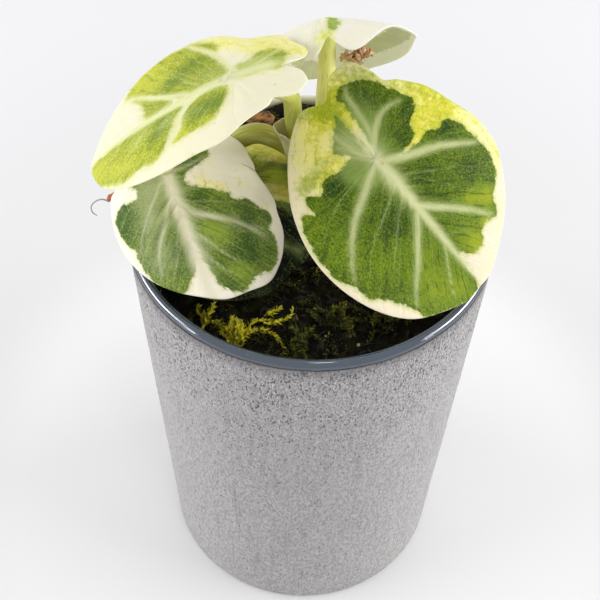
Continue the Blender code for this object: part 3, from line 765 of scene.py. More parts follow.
def moss_finish(name, shade, middle, tip):
    """Dull at a shoot's foot and bright at its tips, with a fine mottle: partly the moss's own colour, partly
    painted shade at the foot and a painted highlight at the tips.
    """
    finish = Finish(name, Roughness=0.7, Specular_IOR_Level=0.3, Subsurface_Weight=0.35,
                    Subsurface_Radius=(1.0, 0.9, 0.2), Subsurface_Scale=0.0012)
    tone = finish.field("tone")
    tint = finish.mix(finish.ease(tone, 0.15, 0.6), shade, middle)
    tint = finish.mix(finish.ease(tone, 0.6, 0.98), tint, tip)
    finish.show(Base_Color=finish.mix(finish.noise(finish.place(), 500.0, 2.0) * 0.4, tint, shade))
    return finish


# %% [markdown]
# Short dull shoots cover the whole bed, scattered evenly over its area, with some more on the heap at the
# back. All of them are one soft piece.

# %% The moss carpet between the sprigs

SPREAD_COUNT = 400
PILED_COUNT = 90
carpet_count = SPREAD_COUNT + PILED_COUNT
carpet_reach = (pot_radius(MIX_LEVEL) - POT_WALL - 4.5) * np.sqrt(chance.random(SPREAD_COUNT))
carpet_turn = chance.random(SPREAD_COUNT) * math.tau
carpet_x = np.concatenate([carpet_reach * np.cos(carpet_turn), chance.uniform(-20, 18, PILED_COUNT)])
carpet_y = np.concatenate([carpet_reach * np.sin(carpet_turn), chance.uniform(33, 40, PILED_COUNT)])
carpet_z = mix_height(carpet_x, carpet_y) + mix_relief(carpet_x, carpet_y) + 0.1
carpet_roots = np.stack([carpet_x, carpet_y, carpet_z], axis=-1)
carpet_routes = curling(carpet_roots, chance.random(carpet_count) * math.tau,
                        chance.uniform(2.5, 6.0, carpet_count), chance.uniform(0.05, 0.42, carpet_count),
                        chance.normal(0, 1.7, carpet_count))
carpet = moss("moss_carpet", carpet_routes, 0.9, 0.2, 31, 15, plump=0.36)
olive = moss_finish("olive_moss", paint(16, 19, 6), paint(60, 64, 16), paint(116, 118, 30))
dress(carpet, olive, "moss")

# %% [markdown]
# The three bright sprigs at the front are placed arm by arm, each arm by a few spots of sideways, forward and
# height above the bed. An arm starts with its number of shoots, which get a little scatter to make it full.

# %% The bright sprigs at the front

BRIGHT_ARMS = (
    ((6, (-18.8, -34.6, 0.6), (-18.7, -31.6, 2.0), (-18.0, -28.4, 3.4)),
     (5, (-17.4, -34.6, 0.6), (-16.6, -31.6, 2.6), (-16.9, -28.8, 3.0)),
     (1, (-15.9, -34.3, 0.5), (-15.2, -31.6, 1.6), (-13.7, -28.9, 2.6), (-11.2, -27.7, 2.8),
      (-8.8, -27.5, 2.4)),
     (1, (-13.8, -31.0, 1.4), (-11.3, -30.5, 1.8), (-8.9, -31.5, 1.5), (-6.5, -34.6, 0.8)),
     (2, (-17.0, -33.0, 0.8), (-14.8, -31.6, 2.0), (-12.4, -30.6, 2.2))),
    ((1, (-11.3, -28.0, 2.2), (-8.2, -27.3, 2.2), (-5.5, -25.8, 1.8), (-4.4, -23.0, 1.6)),
     (1, (-10.6, -25.4, 0.6), (-8.4, -24.6, 1.4), (-6.8, -23.0, 1.0))),
    ((2, (-25.6, -29.4, 0.4), (-24.4, -26.4, 1.2), (-23.2, -23.9, 1.8)),
     (1, (-24.4, -27.9, 0.6), (-26.2, -24.8, 1.2), (-26.4, -22.8, 1.0)),
     (2, (-23.4, -27.6, 0.8), (-21.0, -28.6, 1.2), (-20.5, -30.4, 0.8))))
bright = moss_finish("bright_moss", paint(84, 80, 10), paint(236, 220, 30), paint(255, 246, 96))
for number, arms in enumerate(BRIGHT_ARMS, start=1):
    routes = np.array([smooth_route(arm[1:], 12) for arm in arms for _ in range(arm[0])])
    routes[..., 2] += mix_height(routes[..., 0], routes[..., 1])
    scatter = chance.normal(0, 0.36, (len(routes), 1, 3)) + chance.normal(0, 0.12, routes.shape)
    sprig = moss("moss_sprig_%d" % number, routes + scatter, 1.2, 0.34, 40 + number, 40, plump=0.44, hug=1.35,
                 taper=0.62)
    dress(sprig, bright, "moss", "moss_clump_%d" % number)

# %% [markdown]
# The three duller sprigs are tufts left to chance: a place, a length, a width and a direction for each.

# %% The duller sprigs

DULL_SPRIGS = ((6.0, -26.6, 4.4, 2.8, 10), (15.5, -20.6, 4.2, 2.8, -50), (-2.6, -35.2, 4.2, 2.6, 80))
dull = moss_finish("half_bright_moss", paint(20, 23, 7), paint(64, 67, 16), paint(132, 130, 34))
DULL_SHOOTS = 13
for number, (x, y, long, wide, turn) in enumerate(DULL_SPRIGS, start=4):
    spread = chance.normal(0, 0.38, (DULL_SHOOTS, 2)) * [long, wide]
    slant = math.radians(turn)
    sprig_x = x + spread[:, 0] * math.cos(slant) - spread[:, 1] * math.sin(slant)
    sprig_y = y + spread[:, 0] * math.sin(slant) + spread[:, 1] * math.cos(slant)
    sprig_z = mix_height(sprig_x, sprig_y) + 0.1
    lean = slant + np.where(chance.random(DULL_SHOOTS) < 0.5, 0, math.pi)
    lean = lean + chance.normal(0, 0.6, DULL_SHOOTS)
    sprig_roots = np.stack([sprig_x, sprig_y, sprig_z], axis=-1)
    routes = curling(sprig_roots, lean, chance.uniform(3.0, 6.0, DULL_SHOOTS),
                     chance.uniform(0.15, 0.60, DULL_SHOOTS), chance.normal(0, 1.0, DULL_SHOOTS))
    sprig = moss("moss_sprig_%d" % number, routes, 1.05, 0.26, 40 + number, 24, plump=0.40, hug=1.0)
    dress(sprig, dull, "moss", "moss_clump_%d" % number)

# %% [markdown]
# ## Crown and stalks
#
# The stalks leave a short ribbed crown. A stalk is round, about 4 mm thick, pale yellow-green and faintly
# lined along its length. It widens where it clasps the crown and a little where it meets its blade. A curve
# object with a bevel would give an even rod, so the rod here is a circle carried along the route, with a
# radius for each step and side.

# %% The crown

CROWN_FOOT = 107.0
CROWN_HEIGHT = 17.0
CROWN_ROWS = 26
CROWN_COLUMNS = 72
crown_rise = np.linspace(0, 1, CROWN_ROWS)[:, None]
crown_turn = np.linspace(0, math.tau, CROWN_COLUMNS, endpoint=False)
crown_swell = np.interp(crown_rise, [0, 0.06, 0.55, 0.85, 0.95, 1.0], [0.80, 0.95, 1.0, 0.96, 0.80, 0.5])
crown_ribs = 1 - 0.05 * (1 + np.cos(4 * crown_turn)) * crown_rise
crown_ribs = crown_ribs + 0.02 * np.sin(17 * crown_turn + 5 * crown_rise)
crown_radius = 6.5 * crown_swell * crown_ribs
crown_z = CROWN_FOOT + CROWN_HEIGHT * np.broadcast_to(crown_rise, crown_radius.shape)
crown_grid = np.stack([CROWN[0] + crown_radius * np.cos(crown_turn),
                       CROWN[1] + crown_radius * np.sin(crown_turn), crown_z], axis=-1)
crown_points = closed_points((*CROWN, CROWN_FOOT), crown_grid, (*CROWN, 123.6))
crown = make_piece("crown_stump", crown_points, closed_faces(CROWN_ROWS, CROWN_COLUMNS))

# %% [markdown]
# ### Where a blade stands
#
# Each blade has its own axes: the way its midrib points, the way left of it, and the way out of its upper
# face. They come from three angles, in the order a gardener would tilt a paper leaf: turn it to its heading,
# tip it down, then roll it about its midrib. The numbers are the solids' own.

# %% The five blades' sizes

BLADES = {
    "upper_left": dict(joint=(-19.5, -1.8, 173.0), heading=-174, pitch=21, roll=14.5, length=42,
                       width=0.56, lobe=0.48, notch=0.19, skew=-0.04, tip_bend=0.52, lobe_bend=0.41,
                       droop=(0.01, 0.13), dome=(0.10, -0.12), twist=(-0.11, -0.03), sweep=0.0,
                       bend_reach=0.5,
                       trims=((-168, 14, 0.063), (-122, 8, -0.035), (-97, 13, 0.066), (-2, 8, 0.045),
                              (22, 12, -0.014), (87, 10, -0.044), (127, 5, 0.038), (141, 7, -0.025),
                              (165, 8, 0.048))),
    "lower_left": dict(joint=(-35.5, -1.3, 143.9), heading=-72, pitch=9, roll=9.5, length=37,
                       width=0.57, lobe=0.54, notch=0.18, skew=0.22, tip_bend=0.51, lobe_bend=1.47,
                       droop=(0.04, 0.09), dome=(0.86, 0.87), twist=(0.07, -0.25), sweep=0.09,
                       bend_reach=0.25,
                       trims=((-3, 7, 0.027), (20, 8, -0.034), (42, 6, 0.010), (74, 7, -0.080),
                              (100, 7, -0.018), (121, 15, -0.081))),
    "right": dict(joint=(13.9, -5.7, 152.8), heading=-39.5, pitch=28, roll=31, length=42,
                  width=0.56, lobe=0.55, notch=0.15, skew=-0.03, tip_bend=0.41, lobe_bend=0.54,
                  droop=(0.06, -0.02), dome=(0.18, -0.25), twist=(-0.38, -0.39), sweep=0.0, bend_reach=0.5,
                  trims=((-20, 9, 0.013), (-1, 6, 0.041), (57, 7, -0.010), (85, 12, 0.017), (118, 8, 0.015),
                         (132, 8, 0.049), (153, 6, -0.026), (-179, 6, -0.019))),
    "back": dict(joint=(1.3, 26.0, 167.4), heading=85, pitch=45.5, roll=-19.5, length=38,
                 width=0.53, lobe=0.50, notch=0.16, skew=-0.02, tip_bend=0.63, lobe_bend=1.28,
                 droop=(0.0, 0.3), dome=(0.46, 0.19), twist=(-0.05, 0.13), sweep=0.0, bend_reach=0.5,
                 trims=((-55, 17, 0.051),)),
    "low": dict(joint=(-19.0, 8.4, 129.4), heading=-95, pitch=8.5, roll=8, length=33.5,
                width=0.52, lobe=0.53, notch=0.17, skew=-0.12, tip_bend=0.32, lobe_bend=0.44,
                droop=(0.14, 0.06), dome=(0.36, 0.23), twist=(-0.19, 0.02), sweep=0.0, bend_reach=0.5,
                trims=((0, 6, 0.025), (22, 14, -0.070), (52, 14, -0.120), (88, 16, -0.015), (122, 12, -0.050),
                       (147, 14, -0.170))),
}


def blade_axes(blade):
    """The way the midrib points, the way left of it, and the way out of the upper face."""
    heading, pitch, roll = np.radians([blade["heading"], blade["pitch"], blade["roll"]])
    along = np.array([math.cos(heading) * math.cos(pitch), math.sin(heading) * math.cos(pitch),
                      -math.sin(pitch)])
    left = np.array([-math.sin(heading), math.cos(heading), 0.0])
    up = np.cross(along, left)
    return along, math.cos(roll) * left + math.sin(roll) * up, -math.sin(roll) * left + math.cos(roll) * up


# %% [markdown]
# Each stalk follows a few spots from inside the crown to the underside of its blade.

# %% The stalks

STALKS = {
    "upper_left": dict(route=((-1.9, 9.7, 124.3), (-3.4, 11.6, 133.0), (-4.5, 13.0, 140.9),
                              (-5.3, 12.0, 148.0), (-6.0, 8.6, 158.0), (-8.8, 3.8, 164.6),
                              (-14.0, -0.4, 169.0)), radii=(2.1, 2.2)),
    "lower_left": dict(route=((-1.3, 14.3, 124.3), (-3.8, 16.5, 130.4), (-7.5, 16.8, 135.0),
                              (-13.1, 16.6, 138.3), (-17.3, 16.3, 137.7), (-21.0, 15.0, 135.1),
                              (-25.5, 11.4, 132.7), (-30.0, 5.5, 132.6), (-34.0, 1.0, 135.0)),
                       radii=(2.1, 1.9), swell=0.6),
    "right": dict(route=((5.3, 8.7, 124.3), (8.2, 9.4, 132.5), (11.8, 7.6, 140.5), (13.6, 2.4, 146.4)),
                  radii=(2.1, 2.0)),
    "back": dict(route=((3.1, 15.7, 124.3), (2.3, 15.9, 138), (2.1, 16.4, 151.0), (2.3, 18.6, 156.4),
                        (2.3, 22.0, 161.6)), radii=(2.3, 1.9), wing=0.30),
    "low": dict(route=((-4.9, 10.8, 121.7), (-9.5, 9.8, 124.0), (-14.5, 8.9, 125.6)), radii=(1.8, 1.6)),
}
STALK_STEPS = 90
STALK_SIDES = 24


def make_stalk(name, stalk, blade):
    """A rod from inside the crown to the blade's underside, clasping at its foot and widening at its head.

    A wing widens it below a slanting line, where the real stalk wraps the next one.
    """
    up = blade_axes(blade)[2]
    joint = np.array(blade["joint"])
    foot = np.array(stalk["route"][0])
    root = foot + np.array([0.0, 0.0, -4.5]) + 0.25 * np.array([*(CROWN - foot[:2]), 0.0])
    route = smooth_route([root, *stalk["route"], joint - 3.4 * up, joint - 0.15 * up], STALK_STEPS)
    share = np.linspace(0, 1, STALK_STEPS + 1)
    travelled = np.concatenate([[0], np.cumsum(np.linalg.norm(np.diff(route, axis=0), axis=1))])
    radius = stalk["radii"][0] + (stalk["radii"][1] - stalk["radii"][0]) * share
    radius = radius + stalk.get("swell", 0.0) * np.exp(-((share - 0.42) / 0.22) ** 2)
    radius = radius + 0.55 * np.exp(-travelled / 7.0) + 0.35 * np.exp(-(travelled[-1] - travelled) / 1.6)
    turn = np.linspace(0, math.tau, STALK_SIDES, endpoint=False)
    lines = 1 + 0.012 * np.sin(7 * turn) + 0.01 * np.sin(11 * turn + 1)
    rim_height = 17 + 3.0 * np.cos(turn - 0.6)
    wing = stalk.get("wing", 0.0) / (1 + np.exp((travelled[:, None] - rim_height) / 0.35))
    radii = (radius[:, None] * lines + wing)[None]
    points, faces = rods(route[None], radii, STALK_SIDES)
    ends = [0.0, travelled[-1]]
    reach = np.concatenate([ends[:1], np.repeat(travelled, STALK_SIDES), ends[1:]])
    round_x = np.concatenate([[0], np.tile(np.cos(turn), STALK_STEPS + 1), [0]])
    round_y = np.concatenate([[0], np.tile(np.sin(turn), STALK_STEPS + 1), [0]])
    fields = {"reach": reach / travelled[-1], "fibre": np.stack([round_x, round_y, reach * 0.05], axis=-1)}
    return make_piece(name + "_skin", points, faces, fields)


# %% [markdown]
# Stalk skin is waxy. Fine lines run along it, so its noise is stretched twenty to one along the stalk. It is
# deeper green towards the crown and nearly cream close to the pale blades.

# %% Finish of the stalks and the crown


def stalk_finish(name, foot, middle, head):
    """Lengthwise lines over a slow change of colour from the foot to the head."""
    finish = Finish(name, Roughness=0.42, Specular_IOR_Level=0.45, Subsurface_Weight=0.50,
                    Subsurface_Radius=(0.9, 1.0, 0.4), Subsurface_Scale=0.0025)
    reach = finish.field("reach")
    lines = finish.noise(finish.field("fibre", "Vector"), 5.0, 3.0)
    tint = finish.mix(finish.ease(reach, 0.0, 0.45), foot, middle)
    tint = finish.mix(finish.ease(reach, 0.5, 1.0), tint, head)
    tint = finish.mix(finish.ease(lines, 0.50, 0.75) * 0.45, tint, paint(226, 224, 170))
    finish.show(Base_Color=finish.mix(finish.ease(lines, 0.48, 0.25) * 0.35, tint, paint(112, 120, 34)))
    finish.emboss(lines, 0.25, 0.25)
    return finish


stalk_looks = {
    "upper_left": (paint(180, 182, 84), paint(188, 192, 82), paint(212, 212, 140)),
    "lower_left": (paint(158, 158, 66), paint(168, 168, 74), paint(200, 198, 122)),
    "right": (paint(150, 156, 66), paint(160, 166, 70), paint(190, 194, 110)),
    "back": (paint(230, 228, 146), paint(238, 236, 152), paint(224, 226, 116)),
    "low": (paint(140, 146, 60), paint(130, 140, 52), paint(120, 132, 50)),
}
for side, stalk in STALKS.items():
    rod = make_stalk("stalk_" + side, stalk, BLADES[side])
    dress(rod, stalk_finish("stalk_wax_" + side, *stalk_looks[side]), "stalk_" + side, "stalk_" + side)

crown_wax = Finish("crown_sheaths", Roughness=0.5)
crown_lines = crown_wax.noise(crown_wax.stretch(crown_wax.place(), (1, 1, 0.12)), 700.0, 3.0)
crown_tint = crown_wax.mix(crown_lines, paint(120, 116, 52), paint(196, 190, 128))
crown_wax.show(Base_Color=crown_tint)
crown_wax.emboss(crown_lines, 0.5, 0.4)
dress(crown, crown_wax, "crown_sheaths", "crown")

# %% [markdown]
# ## The blades
#
# A blade starts as a flat heart on paper. Its outline is a radius for each angle around the joint: a cosine
# series gives the egg shape, one bump makes the tip and one dip the notch. The paper is then bent across the
# midrib, twisted about it and bent along it, as an even curve each time, and carried to its place. Sculpting
# would work too, but the formula keeps the fine blade exactly on its solid, and it keeps the flat coordinates
# at hand, which veins and coloured panels are drawn in.

# %% Outline and bending

LEAST_BEND = 1e-6


def outline(angle, blade):
    """Radius of the heart as a share of its length, with small trims where the margin dips or swells."""
    a = np.abs(np.arctan2(np.sin(angle), np.cos(angle)))
    radius = 0.665 + 0.215 * np.cos(a) + 0.075 * np.cos(2 * a) - 0.02 * np.cos(3 * a)
    radius = radius * (1 + (blade["width"] / 0.59 - 1) * np.sin(a) ** 2)
    radius = radius + (blade["lobe"] - 0.525) * np.clip(-np.cos(a), 0, 1) ** 2
    radius = radius - blade["notch"] * np.exp(-((np.pi - a) / 0.17) ** 2)
    radius = radius + 0.05 * np.exp(-(a / 0.16) ** 2)
    radius = radius * (1 + blade["skew"] * np.sin(angle))
    for where, spread, depth in blade["trims"]:
        apart = np.angle(np.exp(1j * (angle - math.radians(where))))
        radius = radius - depth * np.exp(-(apart / math.radians(spread)) ** 2)
    return radius


def bent(distance, start, rate):
    """Where a strip of even bend ends: it leaves at the start angle and turns down at the rate."""
    rate = np.where(np.abs(rate) < LEAST_BEND, LEAST_BEND, rate)
    across = (np.sin(start + rate * distance) - np.sin(start)) / rate
    drop = (np.cos(start + rate * distance) - np.cos(start)) / rate
    return across, drop


def bend_blade(blade, x, y):
    """Carry flat spots, in millimetres ahead of the joint and left of the midrib, onto the bent blade."""
    length = blade["length"]
    is_left = y >= 0
    is_front = x >= 0
    droop = np.where(is_left, blade["droop"][0], blade["droop"][1])
    dome = np.where(is_left, blade["dome"][0], blade["dome"][1]) / (blade["width"] * length)
    across, rise = bent(np.abs(y), droop, dome)
    across = across * np.sign(y)
    turn = np.where(is_front, blade["twist"][0] * x / length, blade["twist"][1] * x / (0.5 * length))
    side = across * np.cos(turn) - rise * np.sin(turn)
    rise = across * np.sin(turn) + rise * np.cos(turn)
    rate = np.where(is_front, blade["tip_bend"] / length, blade["lobe_bend"] / (0.5 * length))
    reach = np.where(is_front, np.abs(x), np.minimum(np.abs(x), blade["bend_reach"] * length))
    ahead, drop = bent(reach, 0.0, rate)
    rest = np.abs(x) - reach
    ahead = (ahead + rest * np.cos(rate * reach)) * np.sign(x)
    drop = drop - rest * np.sin(rate * reach)
    slope = rate * reach * np.sign(x)
    side = side + blade["sweep"] * length * (np.clip(x, 0, None) / length) ** 2
    local = (ahead + rise * np.sin(slope), side, drop + rise * np.cos(slope))
    placed = sum(part[..., None] * axis for part, axis in zip(local, blade_axes(blade)))
    return np.array(blade["joint"]) + placed


for side, blade in BLADES.items():
    turn = np.radians(np.arange(-180, 180))
    rim = blade["length"] * outline(turn, blade)
    long = np.ptp(rim * np.cos(turn)).round(1)
    wide = np.ptp(rim * np.sin(turn)).round(1)
    print(side, "blade is", long, "by", wide, "mm")

# %% [markdown]
# ### Veins and panels
#
# The finish needs to know, at every spot, how near the next vein is and how deep it lies inside a green
# panel. A painted image would tell it, but this is worked out instead: a vein is a smooth line in flat
# coordinates, and the distance to it fades into a soft band. A panel is a smooth closed line, and a spot's
# depth is its distance to that line, positive inside. The finish later frays the panel's edge with noise,
# as the plant's own cells do. All of them are drawn in hundredths of the blade's length, from its joint.

# %% Distances in the flat blade

LENGTH_PARTS = 100
NEAR_ZERO = 1e-12


def beside_piece(x, y, start, end):
    """Distance from each spot to a straight piece of a line, and the share of it nearest to the spot."""
    span = end - start
    share = ((x - start[0]) * span[0] + (y - start[1]) * span[1]) / max(span @ span, NEAR_ZERO)
    share = np.clip(share, 0, 1)
    return np.hypot(x - start[0] - share * span[0], y - start[1] - share * span[1]), share


def along_line(x, y, knots, steps=14):
    """Distance from each spot to a smooth line, and the share of the line where the nearest spot lies."""
    line = smooth_route(np.array(knots) / LENGTH_PARTS, steps)
    nearest = np.full(x.shape, 9.0)
    share = np.zeros(x.shape)
    for k, (start, end) in enumerate(zip(line[:-1], line[1:])):
        apart, passed = beside_piece(x, y, start, end)
        closer = apart < nearest
        nearest = np.where(closer, apart, nearest)
        share = np.where(closer, (k + passed) / steps, share)
    return nearest, share


def vein_band(x, y, veins, widen=1.0):
    """Strength of the pale bands, 0 to 1: the strongest nearby vein wins, and each fades towards its end."""
    band = np.zeros(x.shape)
    for start_width, end_width, strength, knots in veins:
        apart, share = along_line(x, y, knots)
        start, end = start_width / LENGTH_PARTS, end_width / LENGTH_PARTS
        width = widen * (start + (end - start) * share)
        fade = strength * (1 - 0.45 * share ** 2) * np.clip((1 - share) * 8, 0, 1)
        band = np.maximum(band, fade * np.exp(-(apart / width) ** 2))
    return band


def panel_depth(x, y, panels):
    """Depth inside the nearest panel, in shares of the length, negative outside all of them.

    A spot is inside when a level line from it crosses the panel's own line an odd number of times.
    """
    deepest = np.full(x.shape, -1.0)
    for corners in panels:
        line = smooth_route(np.array(corners) / LENGTH_PARTS, 4 * len(corners), closed=True)
        nearest = np.full(x.shape, 9.0)
        inside = np.zeros(x.shape, bool)
        for start, end in zip(line[:-1], line[1:]):
            nearest = np.minimum(nearest, beside_piece(x, y, start, end)[0])
            rise = end[1] - start[1]
            crosses = (start[1] > y) != (end[1] > y)
            level = start[0] + (y - start[1]) * (end[0] - start[0]) / (rise if rise else NEAR_ZERO)
            inside ^= crosses & (x < level)
        deepest = np.maximum(deepest, np.where(inside, nearest, -nearest))
    return deepest


def soft_spots(x, y, spots):
    """Sum of soft round spots, each given by its middle, its size and its strength."""
    total = np.zeros(x.shape)
    for *place, strength in spots:
        middle_x, middle_y, size = np.array(place) / LENGTH_PARTS
        total += strength * np.exp(-((x - middle_x) ** 2 + (y - middle_y) ** 2) / size ** 2)
    return np.clip(total, -1.2, 1.2)


def grain_lines(x, y):
    """Two coordinates of the fine grain: one constant along each side vein, and the way travelled out.

    In front, side veins leave the midrib and lean forward more and more. In the lobes they fan from the
    joint.
    """
    half = np.abs(y)
    front = (x - 0.5 * half) / (1 + 1.8 * half)
    angle = np.abs(np.arctan2(y, x))
    lobe_start = math.atan2(1.0, 0.5)
    fan = -0.28 * (angle - lobe_start)
    return np.where(angle < lobe_start, front, fan) * np.where(y < 0, -1, 1), np.hypot(x, y)


# %% [markdown]
# A vein is a width at its start and at its end, a strength, and a few spots along it. The first one of each
# blade is its midrib.

# %% Veins, read off each blade in flat coordinates

MIDRIB = (4.6, 1.4, 1.0, ((-2, 0), (30, 0), (60, 0), (95, 0)))
BLADES["right"]["veins"] = (
    (6, 2.4, 1.0, ((-6, 1), (10, 1), (40, 0.5), (70, 0), (98, 0))),
    (7.8, 5.6, 0.8, ((18, 0), (11, 0), (3, 0), (-5, 1))),
    (13, 6, 0.6, ((-12, 1), (4, 1), (30, 0), (48, 0))),
    (17, 7, 0.46, ((-17, -6), (-5, -2), (8, 0))),
    (4.4, 2.8, 0.6, ((0, 2), (-12, 7), (-25, 10), (-37, 12), (-42, 18))),
    (4.2, 2.8, 0.64, ((-4, 3), (-13, 12), (-17, 22), (-14, 36))),
    (4.8, 3.2, 0.74, ((4, 3), (10, 14), (18, 32), (27, 45), (36, 57))),
    (4.2, 2.8, 0.74, ((36, 2), (47, 13), (60, 25), (76, 37))),
    (5.6, 4.4, 0.62, ((-2, -2), (-12, -6), (-22, -8), (-32, -10))),
    (4, 2.8, 0.42, ((-3, -4), (-13, -13), (-17, -27), (-12, -42))),
    (4.8, 3, 0.64, ((3, -3), (11, -18), (20, -34), (32, -48), (46, -60))),
    (4.2, 2.6, 0.64, ((38, -2), (48, -11), (58, -21), (68, -34), (76, -42))),
    (2, 1.3, 0.5, ((60, -1), (72, -9), (84, -17), (93, -21))),
    (1.6, 1, 0.34, ((20, -4), (28, -20), (36, -36), (48, -52))),
    (1.4, 1, 0.34, ((26, -3), (38, -18), (50, -33), (58, -45))),
    (1.6, 1, 0.32, ((16, 5), (26, 20), (36, 36), (50, 48))),
    (1.4, 1, 0.3, ((58, 3), (64, 12), (74, 22))),
    (1.4, 1, 0.26, ((2, -12), (5, -30), (14, -50), (22, -60))),
    (1.4, 1, 0.26, ((22, 10), (34, 20), (48, 30), (60, 40))))
BLADES["lower_left"]["veins"] = (
    (5.2, 8, 1.0, ((-10, 0), (20, 0), (45, 0), (70, -1), (88, -3), (105, -4))),
    (3.4, 3, 0.66, ((30, 3), (38, 8), (44, 20), (50, 32), (58, 44), (68, 54))),
    (3, 2.2, 0.4, ((5, 4), (4, 14), (-4, 30), (-10, 45))),
    (1.8, 1.4, 0.46, ((50, 4), (60, 10), (70, 17), (80, 26))),
    (1.8, 1.4, 0.4, ((66, 4), (76, 10), (88, 18))),
    (2.8, 2, 0.55, ((26, -4), (38, -11), (50, -20), (62, -25), (78, -30))),
    (2.2, 1.6, 0.45, ((10, -5), (22, -14), (36, -27), (50, -36), (56, -42))),
    (2.2, 1.6, 0.4, ((0, -4), (-2, -16), (-10, -28), (-16, -34))),
    (1.4, 1, 0.34, ((42, -4), (56, -10), (72, -17))),
    (1.4, 1, 0.3, ((30, 10), (34, 24), (36, 40), (42, 56))))
BLADES["upper_left"]["veins"] = (
    (7.2, 3.4, 1.0, ((-20, -2), (5, 2), (30, 6), (55, 7), (92, 4))),
    (3, 2, 0.8, ((20, 9), (28, 18), (30, 30), (33, 44))),
    (1.8, 1.4, 0.36, ((46, 8), (55, 20), (64, 34), (74, 46))),
    (1.8, 1.4, 0.34, ((66, 7), (76, 17), (86, 26))),
    (3.4, 2.6, 0.8, ((24, 3), (36, -7), (50, -19), (63, -33), (76, -46))),
    (3.2, 2.6, 0.8, ((-4, -2), (4, -22), (13, -40), (22, -52), (34, -65))),
    (2.6, 1.8, 0.5, ((-6, 0), (-16, -10), (-26, -22), (-32, -32))),
    (2.4, 1.6, 0.4, ((-5, 5), (-14, 14), (-24, 22), (-34, 24))),
    (1.4, 1, 0.3, ((16, 0), (26, -15), (38, -34), (52, -54))))
BLADES["back"]["veins"] = (
    MIDRIB,
    (2.2, 1.4, 0.8, ((-4, 1), (-18, 1.4), (-36, 0.5))),
    (2.6, 1.6, 0.6, ((4, 3), (12, 20), (24, 38), (34, 54))),
    (2.6, 1.6, 0.6, ((34, 2), (48, 15), (62, 28), (74, 38))),
    (2.6, 1.6, 0.6, ((4, -3), (12, -20), (24, -38), (34, -54))),
    (2.6, 1.6, 0.6, ((36, -2), (50, -15), (64, -28), (74, -38))),
    (2.4, 1.4, 0.5, ((-4, 4), (-14, 16), (-24, 28))),
    (2.4, 1.4, 0.5, ((-4, -4), (-14, -16), (-24, -28))))
BLADES["low"]["veins"] = (
    MIDRIB,
    (3, 2.2, 0.6, ((4, 3), (6, 18), (5, 32), (4, 48))),
    (2.6, 2, 0.55, ((34, 2), (42, 18), (46, 36), (49, 58))),
    (2.6, 1.6, 0.6, ((4, -3), (14, -22), (26, -42), (36, -58))),
    (2.6, 1.6, 0.6, ((36, -2), (50, -18), (66, -34), (78, -44))),
    (2.6, 1.6, 0.5, ((-4, 3), (-14, 16), (-22, 26))),
    (2.6, 1.6, 0.5, ((-4, -3), (-16, -18), (-30, -34))))
for side, blade in BLADES.items():
    print(side, "blade has", len(blade["veins"]), "veins")

# %% [markdown]
# Panels are the green islands of the variegation. Four more lists hold soft round spots, each with its
# middle, its size and its strength: stains turn the pale tissue yellow, hazes lay green over it, tones make
# the green of a panel fresher above zero and deeper below, and silvers lay a pale bloom over it.

# %% Panels and spots, in the same flat coordinates

